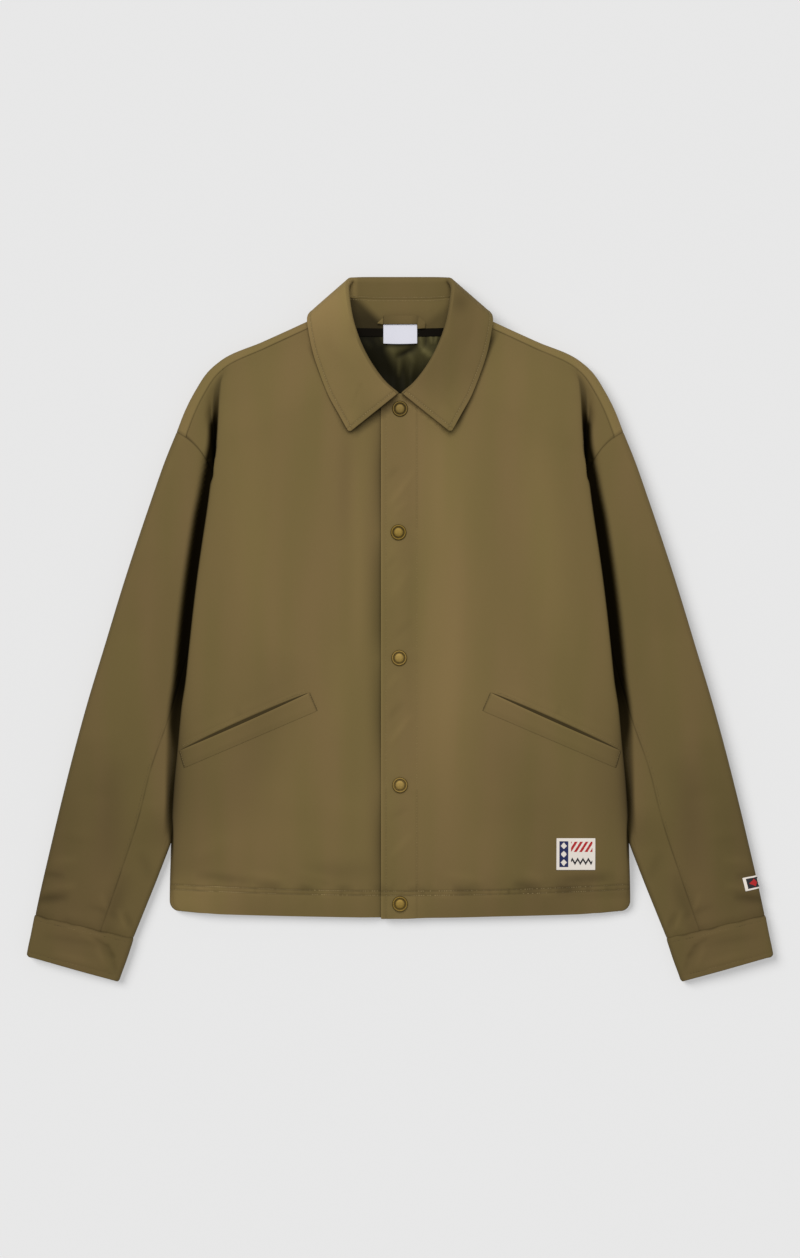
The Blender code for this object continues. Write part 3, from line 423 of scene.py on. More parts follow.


# painted light and shade over the sleeves: darker towards the cuffs and at the outer edge, lighter inward on the lower
# sleeve, with painted bands
def sleeve_painted_light_and_shade(x, y):
    out = outer_x_at(y) - np.abs(x)
    low = ease(-60, -190, y)
    return (0.835 + 0.00056 * y) * bands(-np.abs(x), y, SLEEVE_PAINTED_BANDS) * (1 + 0.12 * low * ease(30, 105, out) - 0.12 * (1 - ease(0, 50, out)) * ease(-100, -230, y) - 0.10 * bell(out, 4))


# painted shade of the fold between body and sleeve along y: dark is its strength, near and far where it starts to fade
# and where it ends, in millimetres out from the body's edge
VALLEY = table("y dark near far", [
    (-262, 0, 0.3, 2.5), (-245, 0.6, 0.5, 4.5), (-226, 0.85, 2.3, 8.3), (-192, 0.85, 3.7, 10.7), (-147, 0.83, 0.8, 14.7), (-102, 0.9, 10.7, 17.4), (-58, 1, 12.2, 18.7), (32, 1, 12, 20.4),
    (121, 1, 12, 20.2), (166, 1, 9.6, 16.6), (189, 1, 9.6, 14.6), (205, 1, 8, 14.7), (228, 1, 8.7, 14.5), (235, 0.95, 6, 14), (244.7, 0.83, 1.5, 13.3),
    (256, 0.70, 0.5, 13.2), (267, 0.55, 0.4, 13.5), (278, 0.42, 0.3, 8.5), (287, 0, 0.2, 5)])
valley_at = spline(VALLEY["y"], np.stack([VALLEY[k] for k in ("dark", "near", "far")], 1))


def valley(x, y, under=False):
    """Share of painted deep fold shade between body and sleeve, for cloth under the fold right up to the body."""
    v = valley_at(y)
    d = np.abs(x) - edge_at(y) + 0.8 + 0.4 * ease(150, 200, y)
    start = 1.0 if under else ease(-0.8, 0.8, d)
    return v[..., 0] * start * (1 - ease(0, 1, (d - v[..., 1]) / (v[..., 2] - v[..., 1])))


def pucker(x, seed, pitch):
    return wander(x * 2 * math.pi / pitch, seed) * (0.55 + 0.45 * wander(x * 2 * math.pi / 95.0, seed + 3))


def welt_frame(x, y):
    """Place of a point along the welt's top edge (0..1) and height above that edge."""
    (ax, ay), (bx, by) = WELT_CORNERS[0], WELT_CORNERS[1]
    dx, dy = bx - ax, by - ay
    size = math.hypot(dx, dy)
    s = ((x - ax) * dx + (y - ay) * dy) / size ** 2
    d = ((y - ay) * dx - (x - ax) * dy) / size
    return s, -d


def crease_tone(x, y, rows, share=0.10):
    """Troughs hold a little painted shade and ridges a little painted light."""
    out = 0.0
    for c in rows:
        if c[4] <= 6.5:
            out = out + ridge(x, y, *c)
    return 1 + share * np.clip(out, -2.5, 1.2)


def front_detail(x, y, side):
    """Height that creases, seams and stitches add to a front."""
    y1, y2 = hem_rows(x)
    edge = HEM_Y + hem_rise(x, side)
    out = 1.05 * pucker(x, 1, 13) * bell(y - (y1 + 5), 5) + 0.5 * pucker(x, 2, 17) * bell(y - (y2 - 5), 5)
    out = out - 0.5 * bell(y - y1, 1.3) - 0.5 * bell(y - y2, 1.3) - 0.12 * bell(y - (y1 + y2) / 2, 2)
    out = out + 0.55 * np.sin(np.pi * np.clip((y - edge) / (y2 - edge), 0, 1))
    for c in FRONT_CREASES:
        out = out + ridge(x, y, *c)
    out = out + 0.35 * np.sin(x / 47 + 0.8) * np.sin(y / 76 + 0.4) + 0.25 * np.sin(x / 29 + y / 110)
    s, d = welt_frame(np.abs(x), y)
    gape = np.sin(np.pi * np.clip(s, 0, 1)) * ((s > 0) & (s < 1))
    out = out + 1.5 * gape * bell(d - 8.5, 6.5) - 0.5 * gape * bell(d + 26, 12)
    if side > 0:
        out = out - 0.35 * bell(x + 15.6, 1.0) - 0.28 * bell(x - 18.8, 1.3) + 0.35 * (1 - ease(17.0, 20.5, x))
        out = out + (0.5 + 1.5 * between_snaps(y)) * ease(2, -PLACKET_HALF, x)
    for sy in SNAP_YS:
        r = np.hypot(x - 0.5, y - sy)
        a = np.arctan2(y - sy, x - 0.5)
        out = out - 0.35 * bell(r, 9.0) + 0.22 * np.cos(5 * a + sy) * bell(r - 16, 7)
    return out


def sleeve_detail(x, y):
    out = 0.0
    for c in SLEEVE_CREASES:
        out = out + ridge(x, y, *c)
    return out + 0.4 * np.sin(np.abs(x) / 31 + y / 52) * np.sin(y / 83 + 0.7)


# ------------------------------------------------------------------ meshes
def normals(p, ring=False):
    if ring:
        du = np.roll(p, -1, axis=1) - np.roll(p, 1, axis=1)
    else:
        du = np.gradient(p, axis=1)
    dv = np.gradient(p, axis=0)
    n = np.cross(du, dv)
    return n / np.maximum(np.linalg.norm(n, axis=2, keepdims=True), 1e-9)


def refine(p, sides="NSEW", steps=(0.5, 1.3, 2.4)):
    """Extra lines close to the edges of a grid: N last row, S first row, W first column, E last column."""
    for name in sides:
        axis = 0 if name in "NS" else 1
        q = np.moveaxis(p, axis, 0)
        if name in "NE":
            q = q[::-1]
        a, b = q[0], q[1]
        size = np.maximum(np.linalg.norm(b - a, axis=1, keepdims=True), 1e-6)
        extra = [a + (b - a) * np.minimum(s / size, 0.22 * (k + 1)) for k, s in enumerate(steps)]
        q = np.concatenate([q[:1], np.array(extra), q[1:]])
        if name in "NE":
            q = q[::-1]
        p = np.moveaxis(q, 0, axis)
    return np.ascontiguousarray(p)


def edge_distance(p, side):
    """Distance along the grid lines from one edge."""
    axis = 0 if side in "NS" else 1
    step = np.linalg.norm(np.diff(p, axis=axis), axis=2)
    if side in "SW":
        d = np.cumsum(step, axis=axis)
        zero = np.zeros_like(np.take(d, [0], axis=axis))
        return np.concatenate([zero, d], axis=axis)
    d = np.flip(np.cumsum(np.flip(step, axis=axis), axis=axis), axis=axis)
    zero = np.zeros_like(np.take(d, [0], axis=axis))
    return np.concatenate([d, zero], axis=axis)


def roll_edges(p, n, sides, depth, wide):
    """Turns the cloth down into a seam along the named edges."""
    for s in sides:
        d = edge_distance(p, s)
        p = p - n * (depth * bell(d, wide))[..., None]
    return p


def quad_mean(values):
    """Mean of a grid's values over each of its quads."""
    return (values[:-1, :-1] + values[1:, :-1] + values[:-1, 1:] + values[1:, 1:]) / 4


def link(name, mesh, mats):
    obj = bpy.data.objects.new(name, mesh)
    bpy.context.scene.collection.objects.link(obj)
    for m in mats:
        mesh.materials.append(m)
    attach(obj, "root")
    LIT["jacket"].objects.link(obj)
    return obj


# the tone attribute scales the cloth's colour: it holds seam lines and thread tones, and painted light and shade
def set_tone(mesh, values):
    attr = mesh.attributes.new("tone", "FLOAT", "POINT")
    attr.data.foreach_set("value", np.broadcast_to(np.asarray(values, np.float32), (len(mesh.vertices),)).copy())


def shell(name, p, wall, mats, up=None, ring=False, tone=None, face_mat=None, round_rim=0.35, deep=None):
    """Closed cloth shell around a grid of points, with a rounded rim.

    up gives a rough direction of the outside at the middle of the grid, tone is a share of
    the cloth's colour for each point, with painted light and shade in it, and face_mat picks a material for each quad.
    deep marks points in painted deep shade, which take the second material.
    """
    rows, cols = p.shape[:2]
    n = normals(p, ring)
    if up is not None:
        mid = n[rows // 2, cols // 2]
        if np.dot(mid, up) < 0:
            n = -n
    h = wall / 2
    count = rows * cols
    index = np.arange(count).reshape(rows, cols)
    verts = [(p + n * h).reshape(-1, 3), (p - n * h).reshape(-1, 3)]
    wide = cols if ring else cols - 1
    a = index[:-1, :wide]
    b = np.roll(index, -1, axis=1)[:-1, :wide]
    c = np.roll(index, -1, axis=1)[1:, :wide]
    d = index[1:, :wide]
    quads = np.stack([a, b, c, d], -1).reshape(-1, 4)
    du = p[0, 1] - p[0, 0]
    facing = np.cross(du, p[1, 0] - p[0, 0])
    if np.dot(facing, n[0, 0]) < 0:
        quads = quads[:, ::-1]
    faces = [quads, quads[:, ::-1] + count]
    if deep is not None:
        face_mat = quad_mean(deep) > 0.6
    tags = [np.zeros(len(quads), int) if face_mat is None else np.asarray(face_mat, int).reshape(-1)] * 2
    shade = [np.ones(count) if tone is None else np.asarray(tone, float).reshape(-1)] * 2
    if ring:
        loops = [(index[0], index[1]), (index[-1], index[-2])]
    else:
        around = np.concatenate([index[0, :-1], index[:-1, -1], index[-1, :0:-1], index[:0:-1, 0]])
        r, cc = np.divmod(around, cols)
        inner = np.clip(r, 1, rows - 2) * cols + np.clip(cc, 1, cols - 2)
        loops = [(around, inner)]
    flat, fn = p.reshape(-1, 3), n.reshape(-1, 3)
    base = 2 * count
    for loop, inner in loops:
        out = flat[loop] - flat[inner]
        out = out - fn[loop] * np.sum(out * fn[loop], axis=1, keepdims=True)
        out = out / np.maximum(np.linalg.norm(out, axis=1, keepdims=True), 1e-9)
        k = len(loop)
        lines = [loop]
        for ang in (50, 0, -50):
            t = math.radians(ang)
            verts.append(flat[loop] + fn[loop] * h * math.sin(t) + out * wall * round_rim * math.cos(t))
            shade.append(shade[0][loop])
            lines.append(base + np.arange(k))
            base += k
        lines.append(loop + count)
        for one, two in zip(lines, lines[1:]):
            q = np.stack([one, two, np.roll(two, -1), np.roll(one, -1)], -1)
            faces.append(q)
            tags.append(np.zeros(len(q), int) if deep is None else (deep.reshape(-1)[loop] > 0.6).astype(int))
    verts = np.concatenate(verts) * MM
    faces = np.concatenate(faces)
    mesh = bpy.data.meshes.new(name)
    mesh.from_pydata(verts.tolist(), [], faces.tolist())
    mesh.polygons.foreach_set("material_index", np.concatenate(tags).astype(np.int32))
    set_tone(mesh, np.concatenate(shade))
    mesh.update()
    bm = bmesh.new()
    bm.from_mesh(mesh)
    bmesh.ops.recalc_face_normals(bm, faces=bm.faces)
    bm.to_mesh(mesh)
    bm.free()
    mesh.shade_smooth()
    return link(name, mesh, mats)


# ------------------------------------------------------------------ materials
def socket(shader, name, value):
    shader.inputs[name].default_value = value


def cloth_material(name, light, dark, rough=0.82, sheen=0.03, pitch=0.0011, bump=0.22, shine=0.1, drift=0.0):
    """Fine twill: slanted ribs, uneven fibres, soft tone and hue changes, and a tone value of each point, which carries
    painted light and shade.
    """
    mat = bpy.data.materials.new(name)
    mat.use_nodes = True
    nt = mat.node_tree
    shader = nt.nodes["Principled BSDF"]
    socket(shader, "Specular IOR Level", shine)
    socket(shader, "Sheen Weight", sheen)
    socket(shader, "Sheen Roughness", 0.45)
    socket(shader, "Sheen Tint", (1.0, 0.90, 0.70, 1.0))
    coord = nt.nodes.new("ShaderNodeTexCoord")
    ribs = nt.nodes.new("ShaderNodeTexWave")
    ribs.wave_type = "BANDS"
    ribs.bands_direction = "DIAGONAL"
    ribs.inputs["Scale"].default_value = 2 * math.pi / (10 * pitch * 1.414)
    ribs.inputs["Distortion"].default_value = 1.2
    ribs.inputs["Detail"].default_value = 1.0
    ribs.inputs["Detail Scale"].default_value = 1.5
    fibre = nt.nodes.new("ShaderNodeTexNoise")
    fibre.inputs["Scale"].default_value = 1300.0
    fibre.inputs["Detail"].default_value = 2.0
    stretch = nt.nodes.new("ShaderNodeMapping")
    stretch.inputs["Scale"].default_value = (26.0, 4.6, 8.0)
    nt.links.new(coord.outputs["Object"], stretch.inputs["Vector"])
    broad = nt.nodes.new("ShaderNodeTexNoise")
    broad.inputs["Scale"].default_value = 1.0
    broad.inputs["Detail"].default_value = 1.5
    nt.links.new(stretch.outputs["Vector"], broad.inputs["Vector"])
    for node in (ribs, fibre):
        nt.links.new(coord.outputs["Object"], node.inputs["Vector"])

    def maths(op, a, b):
        m = nt.nodes.new("ShaderNodeMath")
        m.operation = op
        for i, v in enumerate((a, b)):
            if isinstance(v, (int, float)):
                m.inputs[i].default_value = v
            else:
                nt.links.new(v, m.inputs[i])
        return m.outputs[0]

    grain = maths("ADD", maths("MULTIPLY", ribs.outputs["Fac"], 0.45), maths("MULTIPLY", fibre.outputs["Fac"], 0.55))
    level = maths("ADD", maths("MULTIPLY", grain, 0.6), maths("MULTIPLY", broad.outputs["Fac"], 0.4))
    ramp = nt.nodes.new("ShaderNodeValToRGB")
    ramp.color_ramp.elements[0].position = 0.22
    ramp.color_ramp.elements[1].position = 0.78
    ramp.color_ramp.elements[0].color = (*dark, 1)
    ramp.color_ramp.elements[1].color = (*light, 1)
    nt.links.new(level, ramp.inputs["Fac"])
    colour = ramp.outputs["Color"]
    if drift:
        hue = nt.nodes.new("ShaderNodeValToRGB")
        hue.color_ramp.elements[0].position = 0.36
        hue.color_ramp.elements[1].position = 0.66
        hue.color_ramp.elements[0].color = (1 - 0.8 * drift, 1 + 0.3 * drift, 1 - 1.6 * drift, 1)
        hue.color_ramp.elements[1].color = (1 + 0.8 * drift, 1 - 0.3 * drift, 1 + 1.2 * drift, 1)
        nt.links.new(broad.outputs["Fac"], hue.inputs["Fac"])
        times = nt.nodes.new("ShaderNodeVectorMath")
        times.operation = "MULTIPLY"
        nt.links.new(colour, times.inputs[0])
        nt.links.new(hue.outputs["Color"], times.inputs[1])
        colour = times.outputs[0]
    tone = nt.nodes.new("ShaderNodeAttribute")
    tone.attribute_name = "tone"
    scaled = nt.nodes.new("ShaderNodeVectorMath")
    scaled.operation = "SCALE"
    nt.links.new(colour, scaled.inputs[0])
    nt.links.new(tone.outputs["Fac"], scaled.inputs["Scale"])
    nt.links.new(scaled.outputs[0], shader.inputs["Base Color"])
    rr = nt.nodes.new("ShaderNodeMapRange")
    rr.inputs["To Min"].default_value = rough - 0.08
    rr.inputs["To Max"].default_value = rough + 0.08
    nt.links.new(fibre.outputs["Fac"], rr.inputs["Value"])
    nt.links.new(rr.outputs[0], shader.inputs["Roughness"])
    b = nt.nodes.new("ShaderNodeBump")
    b.inputs["Strength"].default_value = bump
    b.inputs["Distance"].default_value = 0.00025
    nt.links.new(grain, b.inputs["Height"])
    nt.links.new(b.outputs["Normal"], shader.inputs["Normal"])
    return mat


def metal_material(name, light, dark, rough):
    mat = bpy.data.materials.new(name)
    mat.use_nodes = True
    nt = mat.node_tree
    shader = nt.nodes["Principled BSDF"]
    socket(shader, "Metallic", 0.6)
    coord = nt.nodes.new("ShaderNodeTexCoord")
    noise = nt.nodes.new("ShaderNodeTexNoise")
    noise.inputs["Scale"].default_value = 420.0
    noise.inputs["Detail"].default_value = 3.0
    nt.links.new(coord.outputs["Object"], noise.inputs["Vector"])
    ramp = nt.nodes.new("ShaderNodeValToRGB")
    ramp.color_ramp.elements[0].position = 0.3
    ramp.color_ramp.elements[1].position = 0.72
    ramp.color_ramp.elements[0].color = (*dark, 1)
    ramp.color_ramp.elements[1].color = (*light, 1)
    nt.links.new(noise.outputs["Fac"], ramp.inputs["Fac"])
    nt.links.new(ramp.outputs["Color"], shader.inputs["Base Color"])
    rr = nt.nodes.new("ShaderNodeMapRange")
    rr.inputs["To Min"].default_value = rough - 0.06
    rr.inputs["To Max"].default_value = rough + 0.1
    nt.links.new(noise.outputs["Fac"], rr.inputs["Value"])
    nt.links.new(rr.outputs[0], shader.inputs["Roughness"])
    return mat


MAT = {
    "olive": cloth_material("olive_twill", (0.196, 0.139, 0.0535), (0.157, 0.112, 0.0411), drift=0.024),
    # a copy of the olive twill without sheen or gloss, for faces in the painted deep shade of the side folds
    "olive_painted_shade": cloth_material("olive_twill_painted_shade", (0.196, 0.139, 0.0535), (0.157, 0.112, 0.0411), sheen=0.0, shine=0.0),
    "thread": cloth_material("thread", (0.370, 0.280, 0.130), (0.285, 0.210, 0.092), pitch=0.0006, bump=0.1),
    "thread_soft": cloth_material("thread_tonal", (0.270, 0.198, 0.086), (0.210, 0.152, 0.062), pitch=0.0006, bump=0.1),
    "lining": cloth_material("lining_satin", (0.064, 0.0555, 0.0215), (0.038, 0.0325, 0.0120), rough=0.6, sheen=0.0, pitch=0.0004, bump=0.05, shine=0.04),
    "tape": cloth_material("neck_tape", (0.0085, 0.0068, 0.0044), (0.0050, 0.0040, 0.0025), rough=0.9, sheen=0.0, pitch=0.0008, shine=0.04),
    "white": cloth_material("label_white", (0.80, 0.80, 0.88), (0.70, 0.70, 0.78), rough=0.7, sheen=0.0, pitch=0.0006, bump=0.1),
    "cream": cloth_material("label_cream", (0.82, 0.76, 0.69), (0.70, 0.64, 0.57), rough=0.8, sheen=0.0, pitch=0.0008, bump=0.2),
    "red": cloth_material("label_red", (0.48, 0.030, 0.032), (0.34, 0.018, 0.020), rough=0.8, sheen=0.0, pitch=0.0008, bump=0.2),
    "navy": cloth_material("label_navy", (0.030, 0.038, 0.120), (0.018, 0.022, 0.075), rough=0.8, sheen=0.0, pitch=0.0008, bump=0.2),
    "charcoal": cloth_material("label_charcoal", (0.036, 0.034, 0.038), (0.020, 0.019, 0.022), rough=0.8, sheen=0.0, pitch=0.0008, bump=0.2),
    # dark olive laid in the pockets' mouths as painted shade
    "pocket": cloth_material("pocket_mouth_painted_shade", (0.060, 0.043, 0.016), (0.040, 0.028, 0.010), sheen=0.0, shine=0.1),
}
# brass of the five snaps from the top, each a little different in colour, the lower ones paler in the recess; the
# recess brass also makes a dark foot ring that is a painted contact shadow
for _k, (_r, _g, _b, _recess) in enumerate([(0.80, 0.80, 0.68, 1.1), (1.07, 1.05, 0.66, 1.5), (1.24, 1.24, 1.20, 2.2), (1.25, 1.25, 1.30, 3.0), (1.13, 1.10, 0.78, 2.0)], 1):
    MAT[f"brass_{_k}"] = metal_material(f"snap_brass_{_k}", (0.226 * _r, 0.149 * _g, 0.033 * _b), (0.161 * _r, 0.104 * _g, 0.021 * _b), 0.52)
    MAT[f"recess_{_k}"] = metal_material(f"snap_recess_and_shadow_{_k}", (0.052 * _recess, 0.036 * _recess, 0.012 * _recess), (0.028 * _recess, 0.019 * _recess, 0.007 * _recess), 0.65)


# ------------------------------------------------------------------ stitches
class Stitches:
    """Rows of sewn stitches, gathered into one mesh."""

    def __init__(self, name, seed):
        self.name, self.rng = name, np.random.RandomState(seed)
        self.verts, self.faces, self.tones = [], [], []

    def row(self, points, ups, pitch=3.2, length=2.2, wide=0.46, high=0.32, lift=0.12, skip=0.0, tone=1.0, patchy=False):
        p, u = np.array(points, float), np.array(ups, float)
        s = run_length(p)
        at, up = spline(s, p, smooth=True), spline(s, u, smooth=True)
        count = int(s[-1] / pitch)
        for k in range(count):
            m = (k + 0.5) * pitch + self.rng.uniform(-0.12, 0.12) * pitch
            if skip and self.rng.rand() < skip:
                continue
            share = 1.0
            if patchy:
                share = 0.80 + 0.42 * float(wander(m / 9.0, 1)) + 0.15 * float(wander(m / 31.0, 4))
                if share < 0.45:
                    continue
            size = length * self.rng.uniform(0.86, 1.1)
            a, b = at(max(m - size / 2, 0)), at(min(m + size / 2, s[-1]))
            n = up(m)
            n = n / np.linalg.norm(n)
            t = b - a
            size = np.linalg.norm(t)
            if size < 0.3:
                continue
            t = t / size
            w = np.cross(n, t)
            w = w / max(np.linalg.norm(w), 1e-9)
            c = (a + b) / 2 + n * lift
            start = len(self.verts)
            self.tones += [tone * share * self.rng.uniform(0.8, 1.1)] * 20
            self.verts.append(c - t * size / 2 - n * high * 0.6)
            for f, r in ((-0.30, 0.82), (0.0, 1.0), (0.30, 0.82)):
                for g in range(6):
                    ang = math.pi / 3 * g
                    self.verts.append(c + t * size * f + w * math.cos(ang) * wide * r + n * math.sin(ang) * high * r)
            self.verts.append(c + t * size / 2 - n * high * 0.6)
            end = start + 19
            for g in range(6):
                h = (g + 1) % 6
                self.faces.append((start, start + 1 + h, start + 1 + g))
                for ring in range(2):
                    o = start + 1 + ring * 6
                    self.faces.append((o + g, o + h, o + 6 + h, o + 6 + g))
                self.faces.append((start + 13 + g, start + 13 + h, end))

    def make(self, mat):
        mesh = bpy.data.meshes.new(self.name)
        mesh.from_pydata((np.array(self.verts) * MM).tolist(), [], self.faces)
        set_tone(mesh, self.tones)
        mesh.update()
        bm = bmesh.new()
        bm.from_mesh(mesh)
        bmesh.ops.recalc_face_normals(bm, faces=bm.faces)
        bm.to_mesh(mesh)
        bm.free()
        mesh.shade_smooth()
        return link(self.name, mesh, [mat])


def on_grid(p, n, lines, lift):
    """Points and normals of a grid at (row, column) places."""
    pts, ups = [], []
    rows, cols = p.shape[:2]
    for r, c in lines:
        r, c = min(max(r, 0), rows - 1.001), min(max(c, 0), cols - 1.001)
        i, j = int(r), int(c)
        f, g = r - i, c - j

        def mixed(a):
            return (a[i, j] * (1 - f) * (1 - g) + a[i + 1, j] * f * (1 - g) + a[i, j + 1] * (1 - f) * g + a[i + 1, j + 1] * f * g)
        nn = mixed(n)
        nn = nn / np.linalg.norm(nn)
        pts.append(mixed(p) + nn * lift)
        ups.append(nn)
    return pts, ups


def place_at(dist, want):
    """Fractional index where a rising run of distances reaches a value."""
    return float(np.interp(want, dist, np.arange(len(dist))))


# ------------------------------------------------------------------ fronts
ROLL_N, RUN_N, TUCK_N = 12, 6, 7
FLAP_N = ROLL_N + RUN_N + TUCK_N + 1
NEAR_X = np.array([-20.8, -20.3, -19.6, -18.6, -17.6, -16.8, -16.2, -15.6, -15.0, -14.4, -13.6, -12.4, -10.6, -8.4, -6, -3.4, -0.8, 1.8,
                   4.4, 7, 9.6, 12, 14, 15.6, 16.8, 17.8, 18.8, 19.8, 20.8, 22.2, 24, 26.4, 29.2, 32, 35, 38, 41, 44])
PLACKET_COLS = np.array([-PLACKET_HALF, 0.0, 24.0, 44.0])
REST_F = np.linspace(0, 1, 68)[1:]
FAN["x"][-1], FAN["y"][-1] = SEAM_P[-1]
fold_fan = spline(FAN["t"], np.array([[float(edge_at(t)), t] for t in FAN["t"][:-1]] + [list(SEAM_P[4])]))
fan_at = spline(FAN["t"], np.stack([FAN[k] for k in ("x", "y", "knot", "back", "dip")], 1))


def column_shares(inner, outer):
    wide = outer - inner
    if inner < 0:
        near = (NEAR_X - inner) / wide
    else:
        near = np.interp(np.interp(NEAR_X, PLACKET_COLS, [0, 1, 2, 3]), [0, 1, 2, 3], [0, 0.06, 0.13, 0.2])
    return np.concatenate([near, near[-1] + (1 - near[-1]) * REST_F])


FAN_SHARES = []
for _k in range(len(FAN["t"])):
    _stop = fold_fan(FAN["t"][_k])[0] - FOLD_R * FAN["back"][_k]
    FAN_SHARES.append(column_shares(FAN["x"][_k], _stop))
fan_shares = spline(FAN["t"], np.array(FAN_SHARES))


def lip_points(edge, top, tuck, end):
    """Section of the side fold: round the edge, in under it, then down to the seam."""
    k = min(max(tuck / 16.0, 0.0), 1.0)
    a = np.pi / 2 * np.arange(1, FLAP_N + 1) / FLAP_N
    plain = np.stack([edge - FOLD_R + FOLD_R * np.sin(a), end + (top - end) * np.cos(a)], 1)
    if k < 0.02:
        return plain
    turn = math.pi / 2 * k
    a = math.pi / 2 - (math.pi / 2 + turn) * np.arange(1, ROLL_N + 1) / ROLL_N
    roll = np.stack([edge - FOLD_R + FOLD_R * np.cos(a), top - FOLD_R + FOLD_R * np.sin(a)], 1)
    x, z = roll[-1]
    shift = TUCK_R * (1 - math.cos(turn))
    run = max((x - shift - (edge - tuck)) / math.sin(turn), 0.6)
    room = z - end - TUCK_R * math.sin(turn) - 0.8
    if run * math.cos(turn) > room:
        run = max(room, 0.6) / math.cos(turn)
    f = np.arange(1, RUN_N + 1) / RUN_N
    line = np.stack([x - run * f * math.sin(turn), z - run * f * math.cos(turn)], 1)
    x, z = line[-1]
    a = turn * (1 - np.arange(1, TUCK_N + 1) / TUCK_N)
    low = np.stack([x - TUCK_R * (np.cos(a) - math.cos(turn)), z - TUCK_R * (math.sin(turn) - np.sin(a))], 1)
    pts = np.concatenate([roll, line, low, [(edge - tuck, end)]])
    w = min(1.0, k / 0.5)
    return pts * w + plain * (1 - w)


def front_height(x, y, side):
    """Middle of a front's wall, without its creases (x is the half width)."""
    z = front_z(x, y)
    if side < 0:
        z = z - PLACKET_STEP * (1 - ease(24, 42, x))
    return z


def on_front(x, y, side):
    """Middle of a front's wall at a plan point of the whole jacket."""
    x, y = np.asarray(x, float), np.asarray(y, float)
    row = y
    for _ in range(4):
        row = y - hem_rise(x, side) * (1 - ease(HEM_Y, HEM_Y + 70, row))
    return front_height(side * x, row, side) + front_detail(x, y, side)


def front_grid(side):
    ts = np.concatenate([-312.0 - 12.3 * np.sin(np.radians(np.linspace(90, 0, 13))), [-309.8, -307.6, -305.3, -303],
                         np.arange(-301, -283, 0.9), np.arange(-282.5, 168, 2.9), np.arange(169, 284, 2.6),
                         [284.5, 286.6, 288.2, 289.3, 290.1, 290.6]])
    rows = []
    for t in ts:
        if t <= FAN["t"][0]:
            e = float(edge_at(t))
            inner, stop = np.array([-PLACKET_HALF, t]), np.array([e - FOLD_R, t])
            u = column_shares(inner[0], stop[0])
        else:
            fx, fy, knot, back, dip = fan_at(t)
            fold = fold_fan(t)
            inner, stop = np.array([fx, fy]), fold - np.array([FOLD_R * back, 0])
            u = fan_shares(t)
        xy = inner * (1 - u[:, None]) + stop * u[:, None]
        if t > 236:
            curve = seam_at(OUT_LEN[-1] + (OUT_LEN[4] - OUT_LEN[-1]) * u)
            chord = SEAM_P[-1] * (1 - u[:, None]) + SEAM_P[4] * u[:, None]
            xy = xy + (curve - chord) * float(ease(236, 290.6, t))
        rise = hem_rise(xy[:, 0], side) * (1 - ease(HEM_Y, HEM_Y + 70, t))
        z = front_height(xy[:, 0], xy[:, 1], side)
        top = z[-1]
        main = np.stack([xy[:, 0], xy[:, 1] + rise, z], 1)
        lip = fan = None
        if t <= FAN["t"][0]:
            if t <= 20:
                tuck, end = float(tuck_at(t)), SIDE_SEAM_Z + SEAM_GAP / 2
            else:
                tuck = e - float(arm_x_of_y(t)) + CLOTH * (1 - float(ease(150, 172, t)))
                high = float(seam_height(arm_len_of_y(t))) + CLOTH / 2 + SEAM_GAP + 0.2
                end = high + (SIDE_SEAM_Z + SEAM_GAP / 2 - high) * (1 - ease(20, 60, t))
            pts = lip_points(e, top, tuck, end)
            up = hem_rise(e) * (1 - ease(HEM_Y, HEM_Y + 70, t))
            lip = np.stack([pts[:, 0], np.full(len(pts), t + up), pts[:, 1]], 1)
        if t > 163:
            if t <= FAN["t"][0]:
                length, dip = float(arm_len_of_y(t)), 1.0
                end_p = arm_at(length)
            else:
                length = float(knot_len(knot))
                end_p = arm_at(length)
            end_z = float(seam_height(length))
            c = np.arange(1, FLAP_N + 1) / FLAP_N
            p = stop * (1 - c[:, None]) + end_p * c[:, None]
            run = float(np.hypot(*(end_p - stop)))
            late = min(2.2 * (1 - float(ease(178, 208, t))), 0.6 * run)
            c = np.clip((c * run - late) / (run - late), 0, 1)
            plain = top + (end_z - top) * ease(0, 0.6, c)
            drop = top - VALLEY_Z
            low = spline([0, 0.07, 0.15, 0.26, 0.34, 0.45, 0.56, 0.75, 1.0],
                         [top, top - 0.03 * drop, top - 0.22 * drop, top - 0.86 * drop, VALLEY_Z,
                          VALLEY_Z + 0.5 * (end_z - VALLEY_Z), VALLEY_Z + 0.88 * (end_z - VALLEY_Z), VALLEY_Z + 0.99 * (end_z - VALLEY_Z), end_z])(c)
            w = float(ease(274, 290.6, t))
            along = seam_at(OUT_LEN[4] + (OUT_LEN[0] - OUT_LEN[4]) * np.arange(1, FLAP_N + 1) / FLAP_N)
            p = p * (1 - w) + along * w
            fz = plain + (low - plain) * dip
            fz = fz * (1 - w) + (REST_Z + 2 * SHOULDER_HALF_Z) * w
            fan = np.stack([p[:, 0], p[:, 1], fz], 1)
        if fan is None:
            flap = lip
        elif lip is None:
            flap = fan
        else:
            w = float(ease(163, 177, t))
            flap = lip * (1 - w) + fan * w
        rows.append(np.concatenate([main, flap]))
    p = np.array(rows)
    p[..., 0] *= side
    m = p.shape[1] - FLAP_N
    extra = front_detail(p[..., 0], p[..., 1], side)
    fade = np.ones(p.shape[1])
    fade[m:] = np.clip(1 - np.arange(1, FLAP_N + 1) / (0.5 * ROLL_N), 0, 1)
    p[..., 2] += extra * fade
    return p, m


